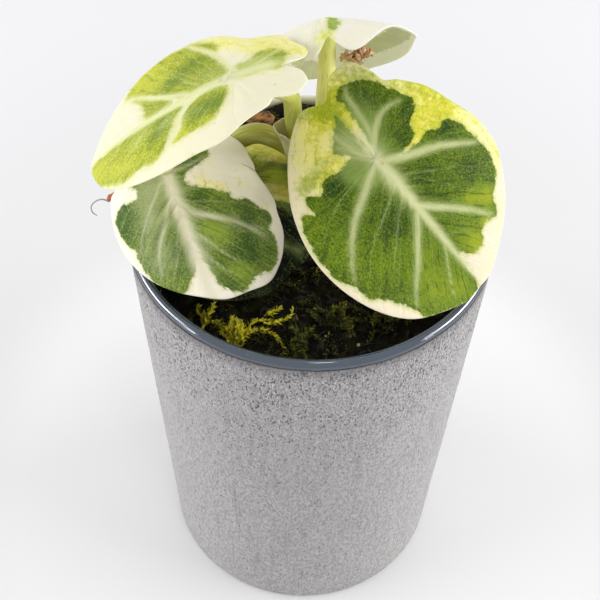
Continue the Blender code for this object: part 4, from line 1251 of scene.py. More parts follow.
BLADES["right"].update(
    panels=(((-42, 15), (-38, 22), (-30, 29), (-20, 33), (-12, 37), (-5, 33), (-3, 28), (4, 25), (7, 17),
             (7, 8), (8, 0), (-8, 3), (-25, 6), (-33, 7), (-40, 6)),
            ((2, -2), (8, 12), (8.5, 25), (7, 33), (10, 38), (9, 44), (14, 49), (25, 52), (40, 54),
             (50, 52), (59, 46), (63, 40), (71, 37), (73.5, 33), (70.5, 28), (72, 22), (78, 16), (78, 10),
             (72, 3), (60, -2)),
            ((-33, 0), (-28, -5), (-24, -10), (-18, -15), (-13, -11), (-9, -10), (-8, -20), (-9, -28),
             (-4, -36), (-8, -42), (-5, -45), (2, -46), (-2, -50), (3, -56), (13, -60), (30, -62.5),
             (37, -61.5), (43, -57.5), (51, -57.5), (56, -51), (62.5, -47.5), (70.5, -42), (80, -39.5),
             (85, -31), (90, -22), (93.5, -15), (94.5, -3), (75, 0), (30, 3), (0, 3), (-15, 0))),
    stains=((3, 35, 10, 1.3), (3, 23, 7, 1.3), (0, 13, 5, 1.2), (-5, 43, 12, 0.8), (5, 48, 10, 0.7),
            (20, 58, 16, 0.62), (-30, 35, 14, 0.5), (-16, 44, 12, 0.6), (-45, 10, 16, 0.6),
            (46, 60, 13, 0.62), (74, 42, 12, 0.3), (-30, -20, 15, 0.5), (-42, -16, 14, 0.45),
            (-22, -33, 12, 0.35), (-13, -17, 8, 1.0), (-9, -30, 7, 0.75), (-8, -44, 12, 0.3),
            (-28, 3, 12, 0.9), (-42, 0, 10, 0.8), (-2, 0, 5, 0.4)),
    hazes=((-44, 16, 12, 0.5), (-38, 27, 10, 0.5), (-26, 34, 9, 0.35), (-14, 42, 8, 0.4),
           (-46, -4, 9, 0.75), (-36, -2, 8, 0.6), (-14, -34, 7, 0.85), (-16, -24, 6, 0.6),
           (-12, -42, 6, 0.5), (-50, -15, 7, 0.5), (-36, -32, 5, 0.35), (-30, 4, 7, 0.3), (-5, 52, 6, 0.5),
           (10, 58, 6, 0.5), (30, 63, 7, 0.5), (46, 63, 7, 0.45), (6, 41, 9, 0.42)),
    tones=((55, -15, 12, 0.5), (74, -24, 15, 0.7), (70, 12, 12, 0.8), (24, -52, 13, 0.15), (60, 37, 8, 1.0),
           (53, 27, 6, 0.7), (71, 27, 5, 0.9), (77, 14, 5, 0.7), (42, -40, 12, 0.35), (50, 34, 10, 0.35),
           (86, -10, 10, 0.6), (4, -52, 6, 0.5), (-2, -27, 8, -0.8), (28, -14, 10, -0.45),
           (37, -15, 7, -0.4), (43, 40, 11, -0.6), (13, 42, 8, -0.6), (-28, 16, 9, -0.8), (-8, 30, 6, -0.6),
           (2, 20, 8, -0.4), (24, 12, 10, -0.4), (10, -10, 6, -0.3)),
    silvers=((-20, -6, 14, 0.8), (-30, 10, 12, 0.45), (-18, 10, 10, 0.5), (26, -8, 8, 0.3), (0, 0, 12, 0.9),
             (-4, -13, 9, 0.9), (6, -10, 7, 0.6)))
BLADES["lower_left"].update(
    panels=(((-12, 26), (-8, 30), (-2, 29), (4, 20), (9, 12), (14, 9), (20, 14), (23, 20), (25, 28),
             (27, 34), (32, 38), (34, 48), (40, 55), (42, 62), (46, 63), (52, 60), (57, 54), (66, 56),
             (75, 53), (83, 47), (88, 40), (88, 31), (93, 23), (96, 15), (90, 6), (75, 3), (40, 0), (5, 0),
             (-5, 10)),
            ((5, 0), (2, -12), (5, -24), (10, -22), (15, -25), (13, -34), (14, -41), (21, -46.5), (31, -46),
             (41, -43), (47, -39), (56, -39.5), (66, -37), (75, -32.5), (85, -23.5), (86, -17), (80, -10),
             (72, -4), (60, -1), (30, 0)),
            ((-2, -8), (-10, -10), (-22, -8), (-30, -12), (-26, -20), (-12, -22), (-2, -18))),
    stains=((20, 46, 9, 0.45), (14, 20, 7, 0.5), (24, 30, 6, 0.8), (22, 20, 5, 0.6), (36, 64, 6, 0.6),
            (2, 30, 6, 0.3), (-30, 30, 20, 0.3), (-30, -20, 15, 0.3)),
    hazes=((10, 2, 5, 0.3), (2, -26, 5, 0.5)),
    tones=((52, 17, 8, 1.1), (48, 24, 5, 0.6), (84, 22, 7, 0.8), (64, 13, 6, 0.3), (28, 26, 7, 0.2),
           (66, 34, 9, -0.55), (78, 32, 7, -0.5), (70, 22, 5, -0.4), (45, 56, 9, -0.4), (36, 44, 8, -0.4),
           (30, 14, 7, -0.5), (4, 18, 8, -0.5), (60, -10, 10, -0.4), (28, -42, 12, -0.4),
           (14, -36, 10, -0.35), (62, -36, 10, -0.3), (90, 12, 6, -0.6), (50, 40, 6, -0.6)),
    silvers=((12, -12, 15, 0.8), (34, -18, 14, 0.6), (60, -24, 16, 0.55), (50, 30, 9, 0.4),
             (60, 46, 8, 0.4), (40, 10, 7, 0.5), (62, 5, 9, 0.4), (20, 6, 8, 0.4)))
BLADES["upper_left"].update(
    panels=(((0, 14), (1, 24), (5, 33), (9, 39), (18, 41), (27, 42), (31, 41), (27, 30), (25, 20), (20, 11),
             (10, 6), (3, 8)),
            ((28, 11), (31, 22), (35, 34), (38, 44), (45, 48), (54, 45), (62, 47), (71, 43), (80, 36),
             (87, 30), (92, 20), (93, 8), (80, 7), (60, 8), (45, 9)),
            ((2, -6), (4, -16), (9, -28), (17, -42), (25, -53), (31, -61), (45, -62), (60, -57), (70, -48),
             (71, -41), (62, -33), (46, -19), (35, -6), (28, 2), (12, 2)),
            ((34, 4), (42, 5), (51, 3), (54, -8), (58, -20), (66, -34), (58, -27), (48, -16), (40, -7)),
            ((11, -42), (13, -52), (20, -58), (29, -63), (24, -55), (17, -47)),
            ((-30, -6), (-31, -18), (-24, -25), (-14, -23), (-9, -14), (-2, -12), (-3, 2), (-10, 5),
             (-20, 3), (-29, 3))),
    stains=((-38, -20, 12, 0.8), (-27, -34, 13, 0.55), (-12, -40, 12, 0.45), (2, -45, 11, 0.5),
            (10, -52, 9, 0.6), (22, -60, 10, 0.5), (-16, -28, 10, 0.4), (28, 42, 5, 0.5), (-25, 5, 8, 0.4),
            (2, 30, 5, 0.4), (62, -50, 16, 0.3), (-5, -30, 10, 0.25)),
    hazes=((-36, -15, 6, 0.4), (-20, -28, 6, 0.4), (12, -44, 5, 0.4), (-12, 6, 6, 0.35), (30, 42, 5, 0.3),
           (20, 60, 3, 0.5)),
    tones=((6, 24, 8, -0.9), (16, 24, 9, -0.8), (42, 24, 7, -0.9), (38, 16, 6, -0.5), (25, -36, 9, -0.8),
           (37, -24, 9, -0.8), (16, -16, 10, -0.4), (62, -50, 14, 0.7), (64, 34, 12, 0.5),
           (86, 20, 10, 0.7), (52, -36, 10, 0.3), (10, 37, 5, 0.6), (26, 38, 6, 0.6), (45, -60, 10, 0.3),
           (-27, -12, 6, -0.2)),
    silvers=((36, 20, 8, 0.5), (20, 22, 7, 0.35), (56, 18, 10, 0.35), (-10, -12, 12, 0.7),
             (-24, -2, 10, 0.5), (14, -12, 10, 0.35), (44, 0, 6, 0.3)))
BLADES["back"].update(
    panels=(((-2, -43), (15, -40), (30, -35), (45, -28), (62, -22), (67, -30), (55, -42), (35, -52),
             (15, -55), (0, -50)),
            ((50, 31), (65, 29), (80, 26), (91, 20), (94, 10), (80, 10), (66, 16), (54, 22)),
            ((-31, -3), (-24, -8.5), (-6, -8), (18, -9), (34, -5), (20, -2), (-20, -2)),
            ((18, 10), (24, 26), (36, 40), (44, 40), (36, 24), (28, 8)),
            ((70, -6), (76, -18), (86, -16), (92, -6))),
    stains=((-34, 1, 7, 0.8), (-20, 1, 5, 0.6), (-40, 14, 10, 0.3), (40, -30, 20, 0.2)),
    hazes=((-30, 3, 5, 0.5), (-10, 2, 5, 0.3)),
    tones=((-20, -5, 10, 0.5), (30, -42, 20, -0.3)),
    silvers=((0, -6, 15, 0.6), (30, -42, 30, 0.5)))
BLADES["low"].update(
    panels=(((-30, 5), (-24, 13), (-25, 24), (-27, 33), (-28, 44), (-10, 50), (-5, 38), (-3, 30), (-2, 20),
             (2, 10), (2, -10), (-20, -20), (-32, -10)),
            ((6, -5), (8, 12), (11, 26), (11, 40), (10, 60), (30, 62), (50, 64), (70, 58), (86, 40),
             (96, 18), (97, -8), (88, -30), (72, -50), (50, -64), (28, -66), (5, -58), (-10, -40),
             (-2, -20))),
    stains=((-40, 12, 16, 0.7), (-44, 30, 16, 0.7), (-30, 40, 14, 0.7), (3, 32, 10, 0.7), (2, 46, 10, 0.6),
            (-40, -20, 25, 0.5)),
    hazes=((-40, 6, 9, 0.5), (-44, 34, 6, 0.4), (-30, 12, 7, 0.8), (-36, 24, 5, 0.3), (4, 30, 10, 0.35),
           (4, 44, 8, 0.2)),
    # Painted shade: the low blade's strong negative tones darken the parts the blades above shadow.
    tones=((-28, 12, 6, 0.9), (-12, 28, 12, 0.9), (-10, 40, 10, 0.7), (-20, 30, 6, 0.2), (15, 30, 10, -0.4),
           (36, 44, 20, -1.2), (62, 48, 20, -1.0), (88, 22, 20, -1.1), (50, 20, 30, -0.6)),
    silvers=((-24, 34, 6, 0.9), (-22, 22, 6, 0.8), (12, 28, 7, 0.8), (13, 42, 7, 0.7), (48, 52, 6, 0.8),
             (46, 40, 6, 0.7), (88, 28, 10, 0.35)))
print(sum(len(blade["panels"]) for blade in BLADES.values()), "green panels")

# %% [markdown]
# Now the blade becomes a closed form. Its rows run from a pole in the middle of the underside out to the
# margin and back to a pole on top. The middle sheet is first pillowed: it swells a little wherever it is far
# from a vein, and ripples along the side veins, which gives the quilted look. Then each spot is pushed off
# the sheet along the surface's own direction, outwards by half the blade's thickness. That closes in a round
# edge at the margin. Veins are pressed in on top and stand proud below.

# %% Build a blade

BLADE_HALF = 0.26
BLADE_COLUMNS = 256
SHARES_OUT = np.concatenate([np.linspace(0.012, 0.972, 84), [0.984, 0.992, 0.997]])
QUILT = {"upper_left": 0.25, "lower_left": 0.85, "right": 0.34, "back": 0.20, "low": 0.35}


def sheet_normal(blade, x, y):
    """The way out of the upper face: the cross product of two short steps on the bent sheet."""
    step = 0.02
    ahead = bend_blade(blade, x + step, y) - bend_blade(blade, x - step, y)
    left = bend_blade(blade, x, y + step) - bend_blade(blade, x, y - step)
    return unit(np.cross(ahead, left))


def make_blade(side, blade):
    """The blade's points from its flat grid, with the values that its finish reads."""
    length = blade["length"]
    angle = np.linspace(-math.pi, math.pi, BLADE_COLUMNS, endpoint=False)
    rim = outline(angle, blade)
    share = np.concatenate([SHARES_OUT, [1.0]])[:, None]
    x = share * rim * np.cos(angle)
    y = share * rim * np.sin(angle)
    normal = sheet_normal(blade, x * length, y * length)
    veins = vein_band(x, y, blade["veins"])
    cores = vein_band(x, y, blade["veins"], widen=0.50)
    across, outward = grain_lines(x, y)
    inset = (1 - share) * rim * length
    edge = np.sqrt(np.clip(1 - (1 - np.clip(inset / 0.9, 0, 1)) ** 2, 0, 1))
    pillow = 1 - vein_band(x, y, blade["veins"], widen=2.6)
    ripple = uneven(np.stack([across * length / 1.5, outward * length / 5.5, 0 * x], axis=-1), 1.0, 51)
    inner = 1 - np.exp(-(inset / 5.0) ** 2)
    lift = QUILT[side] * inner * (0.75 * (pillow - 0.5) + 0.42 * ripple)
    middle = bend_blade(blade, x * length, y * length) + normal * lift[..., None]
    top = middle + normal * (BLADE_HALF * edge - 0.12 * edge * veins)[..., None]
    under = middle - normal * (BLADE_HALF * edge + 0.20 * edge * veins)[..., None]
    grid = np.concatenate([under[:-1], top[::-1]])
    centre = bend_blade(blade, np.zeros(1), np.zeros(1))[0] + float(lift[0].mean()) * normal[0].mean(axis=0)
    out = blade_axes(blade)[2]
    points = closed_points(centre - (BLADE_HALF + 0.18) * out, grid, centre + (BLADE_HALF - 0.12) * out)
    depth = panel_depth(x, y, blade["panels"]) * length

    def both(values, first, last):
        """A value for every point, in the order underside, margin, top."""
        return np.concatenate([[first], values[:-1].ravel(), values[::-1].ravel(), [last]])

    below = np.concatenate([[1.0], np.ones(under[:-1].size // 3), np.zeros(top.size // 3), [0.0]])
    fields = {
        "vein": both(veins, 1, 1), "core": both(cores, 1, 1), "depth": both(depth, 2, 2),
        "inset": both(inset, 20, 20), "below": below,
        "grain": np.stack([both(across * length, 0, 0), both(outward * length, 0, 0), below * 7], axis=-1),
        "flat": np.stack([both(x * length, 0, 0), both(y * length, 0, 0), np.ones_like(below)], axis=-1),
    }
    for field in ("stain", "haze", "tone", "silver"):
        values = soft_spots(x, y, blade[field + "s"])
        fields[field] = both(values, values[0].mean(), values[0].mean())
    return make_piece("blade_" + side, points, closed_faces(*grid.shape[:2]), fields)


# %% [markdown]
# ### The look of a blade
#
# The finish starts from patterns. Two follow the side veins: short flecks and longer streaks of noise. Three
# lie evenly over the blade: a fine felt, a mottle and wide clouds. Stripes along the side veins give pale
# hairlines and dark creases, which are painted shade in the folds of the quilted blade as well as relief.
# What follows the veins here is calmed close to the joint, where its lines would run together.

# %% Patterns of a blade


def blade_patterns(finish):
    """The patterns that the layers of a blade share."""
    grain = finish.field("grain", "Vector")
    flat = finish.field("flat", "Vector")
    away = finish.ease(finish.length(flat), 1.0, 4.5)
    fleck = 0.5 + (finish.noise(finish.stretch(grain, (3.9, 1.8, 1.0)), 1.0, 3.0, 0.65) - 0.5) * away
    streak = 0.5 + (finish.noise(finish.stretch(grain, (1.0, 0.30, 1.0)), 1.0, 3.0, 0.55) - 0.5) * away
    felt = finish.noise(flat, 1.8, 3.0, 0.6)
    mottle = finish.noise(flat, 0.8, 4.0, 0.65)
    clouds = finish.noise(flat, 0.28, 3.0, 0.55)
    stripes = finish.waves(grain, 0.17, 3.2, 1.2)
    folds = finish.waves(grain, 0.11, 5.0, 0.9)
    hair = finish.ease(stripes, 0.90, 1.0) * finish.ease(clouds, 0.36, 0.60) * away
    # Painted shade in the folds between the side veins, also used as relief below.
    crease_shade = finish.ease(folds, 0.86, 1.0) * finish.ease(clouds, 0.62, 0.40) * away
    stain = finish.ease(finish.field("stain") + (mottle - 0.5) * 0.8 + (streak - 0.5) * 0.4, 0.12, 0.90)
    return SimpleNamespace(grain=grain, flat=flat, fleck=fleck, streak=streak, felt=felt, mottle=mottle,
                           clouds=clouds, hair=hair, crease_shade=crease_shade, stain=stain)


# %% [markdown]
# The green of a panel runs from deep to fresh, by the patterns and by the tones, and turns almost lime
# where a tone is strong, a painted highlight on the right blade. Painted crease shade darkens it. Painted
# gleams on the flecks, a pale bloom, the hairlines and a veil beside each vein lighten it.

# %% Green tissue


def green_tissue(finish, look, pattern):
    """The green of the panels, each layer mixed over the ones before it."""
    fleck, streak, felt, mottle = pattern.fleck, pattern.streak, pattern.felt, pattern.mottle
    tone = finish.field("tone")
    mixed = fleck * 1.0 + felt * 0.65 + streak * 0.30 + mottle * 0.20 + pattern.clouds * 0.20
    mixed = mixed + tone * look["swing"]
    sunny = finish.ease(tone + (mottle - 0.5) * 0.8, 0.45, 1.20)
    gleam = finish.ease(fleck * 0.6 + felt * 0.4, 0.54, 0.70)
    silver = finish.ease(finish.field("silver") + (fleck - 0.5) * 0.7 + (streak - 0.5) * 0.4, 0.0, 1.05)
    veiled = finish.ease(finish.field("vein") + (fleck - 0.5) * 0.40 + (streak - 0.5) * 0.2, 0.02, 0.75)
    green = finish.mix(finish.ease(mixed, 0.86, 1.50), look["deep"], look["fresh"])
    # Painted highlight: lime where a tone is strong, weighted by the look's sunny share.
    green = finish.mix(sunny * look["sunny"], green, look["lime"])
    # Painted highlight: gleams on the flecks.
    green = finish.mix(gleam * 0.32, green, look["gleam"])
    # Painted shade: the creases darken the green.
    green = finish.mix(pattern.crease_shade * 0.50, green, look["deep"])
    green = finish.mix(silver * 0.85, green, look["mist"])
    green = finish.mix(pattern.hair * 0.34, green, look["veil"])
    return finish.mix(veiled * 0.72, green, look["veil"])


# %% [markdown]
# The pale tissue is cream. Where it is stained it turns buttery, lime in the strongest spots, with short
# green flecks and thin green threads that run along the margin. Hazes lay mottled green over it.

# %% Pale tissue


def pale_tissue(finish, look, pattern):
    """The tissue between the panels, each layer mixed over the ones before it."""
    fleck, streak, felt, mottle = pattern.fleck, pattern.streak, pattern.felt, pattern.mottle
    clouds, stain = pattern.clouds, pattern.stain
    inset = finish.field("inset")
    strong = finish.field("stain") + (mottle - 0.5) * 1.1 + (clouds - 0.5) * 1.2 + (streak - 0.5) * 0.6
    haze = finish.ease(finish.field("haze") + (mottle - 0.5) * 1.5 + (fleck - 0.5) * 0.4, 0.14, 0.95)
    hazy = finish.mix(finish.ease(fleck * 0.5 + felt * 0.5, 0.40, 0.60), look["fresh"], look["fringe"])
    winding = inset * 2.0 + clouds * 8.0 + mottle * 1.6
    contour = finish.node("ShaderNodeMath", {"operation": "SINE"}, {0: winding})
    thread = finish.ease(contour, 0.80, 1.0) * finish.ease(mottle, 0.38, 0.56)
    ground = finish.mix(clouds, look["pale"], look["shade"])
    ground = finish.mix(stain * 0.95, ground, look["butter"])
    ground = finish.mix(finish.ease(strong, 0.60, 1.30) * 0.9, ground, look["lime"])
    ground = finish.mix(finish.ease(felt, 0.42, 0.66) * stain * 0.28, ground, look["butter"])
    ground = finish.mix(haze * 0.76, ground, hazy)
    ground = finish.mix(thread * stain * 0.50, ground, look["fringe"])
    ground = finish.mix(finish.ease(fleck, 0.52, 0.74) * stain * 0.24, ground, look["fringe"])
    return finish.mix(finish.ease(inset, 0.9, 0.0) * stain * 0.6, ground, look["fringe"])


# %% [markdown]
# The whole finish lays the green over the pale, with a frayed edge and a lime fringe, and the pale veins over
# both. The underside has the same panels in greyer, paler colours. Light passes a little way through the
# tissue, which keeps the shaded blades bright.

# %% Finish of a blade


def blade_finish(side, look):
    """All layers of a blade, from its table of colours and edge widths."""
    look = {"mist": look["veil"], "sunny": 0.0, "shine": 0.20, "glow": 0.45, **look}
    finish = Finish("leaf_" + side, Roughness=0.5, Specular_IOR_Level=look["shine"],
                    Subsurface_Weight=look["glow"], Subsurface_Radius=(0.9, 1.0, 0.4),
                    Subsurface_Scale=0.0025)
    pattern = blade_patterns(finish)
    fleck, streak = pattern.fleck, pattern.streak
    vein = finish.field("vein")
    core = finish.field("core")
    frayed = finish.noise(finish.stretch(pattern.grain, (0.55, 0.42, 1.0)), 1.0, 3.0, 0.6)
    depth = finish.field("depth") + (frayed - 0.5) * 2.4 + (pattern.mottle - 0.5) * 1.3 + (fleck - 0.5) * 0.4
    panel = finish.ease(depth, -look["blur"], look["blur"])
    band = finish.ease(vein + (streak - 0.5) * 0.34 + (fleck - 0.5) * 0.22, 0.10, 1.0)
    rib = finish.ease(core + (streak - 0.5) * 0.34 + (fleck - 0.5) * 0.20, 0.06, 0.95)
    freckle = finish.ease(finish.cells(pattern.flat, 0.13), 0.035, 0.015)
    ground = pale_tissue(finish, look, pattern)
    tint = finish.mix(finish.ease(depth, -look["halo"], 0.1) * 0.5, ground, look["fringe"])
    tint = finish.mix(panel, tint, green_tissue(finish, look, pattern))
    tint = finish.mix(band * (0.34 + 0.46 * vein), tint, look["vein"])
    tint = finish.mix(rib * 0.56, tint, look["vein"])
    tint = finish.mix(freckle * 0.6, tint, paint(120, 96, 50))

    under_green = finish.mix(pattern.clouds, paint(181, 181, 166), paint(214, 212, 196))
    under = finish.mix(pattern.stain * 0.5, paint(252, 244, 226), paint(236, 232, 160))
    under = finish.mix(panel, under, under_green)
    under = finish.mix(finish.ease(vein, 0.2, 0.9) * 0.6, under, paint(226, 222, 176))
    finish.show(Base_Color=finish.mix(finish.field("below"), tint, under))
    finish.show(Roughness=0.46 + 0.14 * panel + 0.10 * (streak - 0.5))
    relief = streak * 0.6 + fleck * 0.5 + pattern.felt * 0.5 - pattern.hair * 0.4 - pattern.crease_shade * 0.8
    finish.emboss(relief * (1 - 0.7 * core), 0.34, 0.25)
    return finish


# %% [markdown]
# No two blades share their colours. The right one is a full green with the yellowest stains, the left ones
# are paler, and the low one lies in deep shade: its nearly black greens and dimmer pale tissue are painted
# shade.

# %% The five blades' colours

blade_looks = {
    "right": dict(deep=paint(22, 52, 2), fresh=paint(114, 137, 2), gleam=paint(152, 168, 38),
                  veil=paint(114, 136, 34), mist=paint(128, 148, 74), pale=paint(232, 220, 191),
                  shade=paint(224, 212, 176), butter=paint(244, 236, 138), lime=paint(202, 195, 10),
                  fringe=paint(156, 171, 40), vein=paint(211, 212, 162), blur=0.26, halo=1.3, swing=0.27,
                  sunny=0.27),
    "lower_left": dict(deep=paint(50, 80, 24), fresh=paint(136, 156, 50), gleam=paint(168, 180, 104),
                       veil=paint(166, 174, 126), pale=paint(253, 246, 216), shade=paint(250, 240, 206),
                       butter=paint(250, 236, 162), lime=paint(196, 196, 70), fringe=paint(166, 172, 88),
                       vein=paint(222, 216, 186), blur=0.28, halo=1.0, swing=0.34),
    "upper_left": dict(deep=paint(100, 122, 30), fresh=paint(190, 189, 56), gleam=paint(210, 210, 116),
                       veil=paint(186, 194, 124), pale=paint(222, 216, 194), shade=paint(219, 212, 182),
                       butter=paint(228, 220, 140), lime=paint(206, 200, 70), fringe=paint(192, 196, 92),
                       vein=paint(206, 208, 158), blur=0.8, halo=2.2, swing=0.26),
    "back": dict(deep=paint(90, 114, 40), fresh=paint(150, 166, 70), gleam=paint(178, 190, 110),
                 veil=paint(176, 188, 140), pale=paint(226, 220, 204), shade=paint(220, 214, 194),
                 butter=paint(214, 212, 130), lime=paint(196, 198, 80), fringe=paint(176, 184, 100),
                 vein=paint(228, 224, 200), blur=0.4, halo=1.4, swing=0.26, glow=0.75),
    # Painted shade: the low blade's colours are darkened for the shade it lies in.
    "low": dict(deep=paint(2, 9, 2), fresh=paint(178, 192, 66), gleam=paint(134, 152, 62),
                veil=paint(112, 128, 72), pale=paint(216, 208, 136), shade=paint(206, 198, 120),
                butter=paint(198, 190, 90), lime=paint(172, 168, 50), fringe=paint(150, 150, 60),
                vein=paint(150, 156, 88), blur=0.35, halo=1.2, swing=0.30, shine=0.08),
}
for side, blade in BLADES.items():
    sheet = make_blade(side, blade)
    dress(sheet, blade_finish(side, blade_looks[side]), "leaf_" + side, "leaf_" + side)

# %% [markdown]
# ## Dried bits
#
# A few small things make the plant look grown and not made. The first is a thin papery sheath that wraps
# most of the way round one stalk and flares at its torn mouth. It is an open sheet, a radius for each height
# and angle around the stalk's route, so Solidify gives it its thickness.

# %% The papery sheath

SHEATH_COLUMNS = 60
SHEATH_ROOM = 0.6
SHEATH_THICKNESS = 0.3
sheath_route = smooth_route(STALKS["upper_left"]["route"], 96)[8:44]
sheath_turn = np.radians(np.linspace(28, 262, SHEATH_COLUMNS))
sheath_circle = np.stack([np.cos(sheath_turn), np.sin(sheath_turn), 0 * sheath_turn], axis=-1)
sheath_rise = np.linspace(0, 1, len(sheath_route))[:, None]
sheath_ends = np.abs(np.linspace(-1, 1, SHEATH_COLUMNS)) ** 1.5
sheath_bulge = 2.2 + 2.2 * np.exp(-((sheath_turn - 3.3) / 0.9) ** 2)
sheath_flare = sheath_bulge * sheath_rise ** 2 * (0.35 + 0.65 * sheath_ends)
sheath_ruffle = 0.12 * np.sin(9 * sheath_turn + 4 * sheath_rise) * sheath_rise
sheath_radius = STALKS["upper_left"]["radii"][1] + SHEATH_ROOM + sheath_flare + sheath_ruffle
sheath_torn = 0.35 * uneven(3 * sheath_circle, 0.7, 61)
sheath_z = sheath_route[:, 2:3] + sheath_rise ** 2 * (sheath_torn + 1.2 * np.sin(math.pi * sheath_ends) - 0.6)
sheath_grid = np.stack([sheath_route[:, 0:1] + sheath_radius * np.cos(sheath_turn),
                        sheath_route[:, 1:2] + sheath_radius * np.sin(sheath_turn), sheath_z], axis=-1)
spots = np.arange(sheath_z.size).reshape(sheath_z.shape)
sheath_quads = np.stack([spots[:-1, :-1], spots[:-1, 1:], spots[1:, 1:], spots[1:, :-1]], axis=-1)
sheath_reach = np.broadcast_to(sheath_rise, sheath_z.shape).ravel()
sheath = make_piece("sheath_paper", sheath_grid.reshape(-1, 3), [sheath_quads.reshape(-1, 4)],
                    {"reach": sheath_reach})
skin = sheath.modifiers.new("thickness", "SOLIDIFY")
skin.thickness = SHEATH_THICKNESS * MM
skin.offset = 0.0
paper = Finish("dry_paper", Roughness=0.45, Subsurface_Weight=0.4, Subsurface_Radius=(1.0, 0.95, 0.7),
               Subsurface_Scale=0.0015)
paper_lines = paper.noise(paper.stretch(paper.place(), (1, 1, 0.10)), 1300.0, 3.0)
paper_green = paper.mix(paper_lines, paint(146, 150, 78), paint(184, 186, 118))
paper_grey = paper.mix(paper_lines, paint(156, 152, 118), paint(198, 194, 160))
paper.show(Base_Color=paper.mix(paper.ease(paper.field("reach"), 0.35, 0.85), paper_green, paper_grey))
paper.emboss(paper_lines, 0.5, 0.3)
dress(sheath, paper, "papery_sheath", "papery_sheath")

# %% [markdown]
# At the edge of the lower left blade sits a dried brown nub, and a thin fibre curls down from it. Both are
# rods: a short thick one and a long thin one that tapers.

# %% The browned nub and its fibre

NUB_STEPS = 20
NUB_SIDES = 14
NUB_ANGLE = math.radians(-97.0)
nub_blade = BLADES["lower_left"]
nub_rim = outline(NUB_ANGLE, nub_blade) * nub_blade["length"]


def spot_before_nub(share):
    """A spot on the straight way from the blade's joint to the nub, at a share of that way."""
    reach = share * nub_rim
    return bend_blade(nub_blade, np.array(reach * math.cos(NUB_ANGLE)), np.array(reach * math.sin(NUB_ANGLE)))


edge_spot = spot_before_nub(1.0)
outward = unit(edge_spot - spot_before_nub(0.9))
nub_start = edge_spot + 0.3 * outward
nub_route = smooth_route([edge_spot - 0.6 * outward, nub_start + 0.5 * outward,
                          nub_start + 1.3 * outward + [0, 0, 0.2],
                          nub_start + 2.1 * outward + [0, -0.2, -0.2]], NUB_STEPS)
nub_share = np.linspace(0, 1, NUB_STEPS + 1)
nub_radius = np.interp(nub_share, [0, 0.3, 0.5, 0.8, 1.0], [0.30, 0.60, 0.75, 0.55, 0.25])
nub_turn = np.linspace(0, math.tau, NUB_SIDES, endpoint=False)
nub_crease = 1 + 0.16 * np.sin(nub_turn * 3 + 1)
nub_points, nub_faces = rods(nub_route[None], (nub_radius[:, None] * nub_crease)[None], NUB_SIDES)
nub = make_piece("browned_nub", nub_points, nub_faces)
brown = Finish("browned_edge", Roughness=0.7)
brown_spots = brown.noise(brown.place(), 1500.0, 3.0)
brown.show(Base_Color=brown.mix(brown_spots, paint(126, 58, 18), paint(206, 128, 72)))
brown.emboss(brown.noise(brown.place(), 2500.0, 3.0), 0.6, 0.2)
dress(nub, brown, "browned_tip", "browned_tip")

FIBRE_STEPS = 40
FIBRE_BENDS = np.array([(0.4, 0, 0), (-1.4, 0.3, 0.35), (-3.0, 0.2, -0.2), (-4.2, -0.3, -1.5),
                        (-4.0, -0.9, -3.0), (-2.9, -1.2, -3.9)])
fibre_route = smooth_route(nub_route[-1] + FIBRE_BENDS, FIBRE_STEPS)
fibre_radius = np.interp(np.arange(FIBRE_STEPS + 1), [0, 34, FIBRE_STEPS], [0.19, 0.14, 0.08])
fibre_points, fibre_faces = rods(fibre_route[None], fibre_radius[None, :, None], 8)
fibre = make_piece("curled_fibre", fibre_points, fibre_faces)
straw = Finish("dry_fibre_skin", Roughness=0.6)
straw_spots = straw.noise(straw.place(), 600.0, 2.0)
straw.show(Base_Color=straw.mix(straw_spots, paint(118, 116, 118), paint(178, 174, 170)))
dress(fibre, straw, "dry_fibre", "dry_fibre")

# %% [markdown]
# A reddish chip of bark lies on the mix behind the stalks. It is a ball pushed towards a block, roughened,
# and ridged in layers.

# %% The bark chip

CHIP_ROWS = 30
CHIP_COLUMNS = 48
CHIP_SPOT = np.array([-14.3, 36.6])
CHIP_REACH = np.array([3.5, 2.1, 1.85])
chip_up = np.linspace(-0.97, 0.97, CHIP_ROWS)[:, None] * math.pi / 2
chip_turn = np.linspace(0, math.tau, CHIP_COLUMNS, endpoint=False)
ball = np.stack([np.cos(chip_up) * np.cos(chip_turn), np.cos(chip_up) * np.sin(chip_turn),
                 np.sin(chip_up) + 0 * chip_turn], axis=-1)
blocky = np.sign(ball) * np.abs(ball) ** 0.8
chip_push = 1 + 0.14 * uneven(ball, 0.5, 71) + 0.06 * uneven(ball, 0.2, 72) + 0.04 * np.sin(18 * ball[..., 2])
chip_grid = blocky * chip_push[..., None] * CHIP_REACH
slant = math.radians(12)
chip_spin = np.array([[math.cos(slant), math.sin(slant), 0],
                      [-math.sin(slant), math.cos(slant), 0],
                      [0, 0, 1]])
chip_grid = chip_grid @ chip_spin + np.array([*CHIP_SPOT, mix_height(*CHIP_SPOT) + 3.5])
chip_points = closed_points(chip_grid[0].mean(axis=0), chip_grid, chip_grid[-1].mean(axis=0))
chip = make_piece("bark_chip_red", chip_points, closed_faces(CHIP_ROWS, CHIP_COLUMNS))
bark = Finish("red_bark", Roughness=0.8)
layers = bark.noise(bark.stretch(bark.place(), (0.4, 0.4, 1.6)), 900.0, 4.0, 0.6)
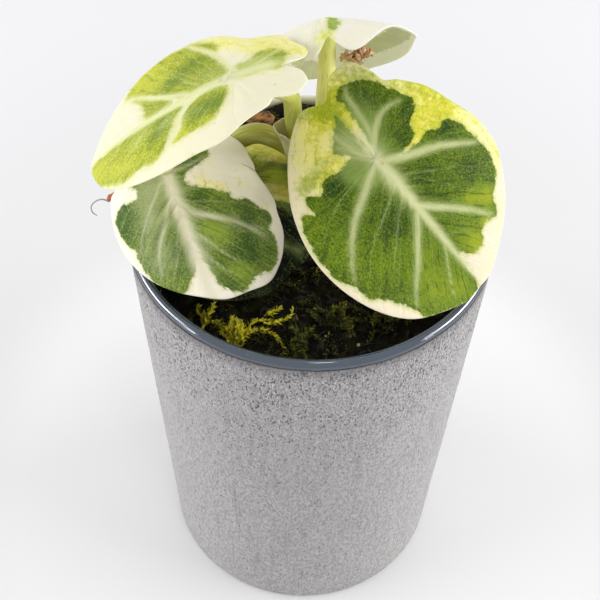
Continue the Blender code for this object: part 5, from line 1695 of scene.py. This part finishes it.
bark.show(Base_Color=bark.mix(bark.ease(layers, 0.36, 0.64), paint(46, 28, 10), paint(152, 102, 44)))
bark.emboss(layers, 0.9, 0.5)
dress(chip, bark, "bark", "bark_chip")

# %% [markdown]
# Beside the back stalk sits a crumbly tan remnant. It is a ball of short bent flakes, each a flat rod.

# %% The crumbly remnant

FLAKE_COUNT = 64
FLAKE_STEPS = 7
FLAKE_SIDES = 8
flake_draw = np.random.default_rng(81)
flake_ball = unit(flake_draw.normal(size=(FLAKE_COUNT, 3))) * flake_draw.random((FLAKE_COUNT, 1)) ** 0.4
flake_centres = np.array([9.1, 20.5, 161.4]) + flake_ball * [3.9, 1.7, 2.0]
flake_ahead = unit(flake_draw.normal(size=(FLAKE_COUNT, 3)) * [0.5, 0.5, 1.0])
flake_bend = 0.55 * np.cross(flake_ahead, unit(flake_draw.normal(size=(FLAKE_COUNT, 3))))
flake_t = np.linspace(-1, 1, FLAKE_STEPS)[None, :, None]
flake_straight = flake_centres[:, None] + 1.15 * flake_t * flake_ahead[:, None]
flake_routes = flake_straight + flake_t ** 2 * flake_bend[:, None]
flake_radii = 0.55 * np.sqrt(1 - 0.8 * flake_t ** 2) * flake_draw.uniform(0.7, 1.1, (FLAKE_COUNT, 1, 1))
flake_points, flake_faces = rods(flake_routes, flake_radii, FLAKE_SIDES, flat=0.35)
flake_tone = np.repeat(flake_draw.random(FLAKE_COUNT), FLAKE_STEPS * FLAKE_SIDES + 2)
flakes = make_piece("remnant_flakes", flake_points, flake_faces, {"tone": flake_tone})
husk = Finish("dry_husk", Roughness=0.75)
husk_tint = husk.mix(husk.field("tone"), paint(200, 146, 92), paint(244, 214, 172))
husk_spots = husk.ease(husk.noise(husk.place(), 900.0, 3.0), 0.45, 0.7)
husk.show(Base_Color=husk.mix(husk_spots * 0.45, husk_tint, paint(136, 82, 44)))
husk.emboss(husk.noise(husk.place(), 2200.0, 3.0), 0.6, 0.2)
dress(flakes, husk, "dry_remnant", "dry_remnant")
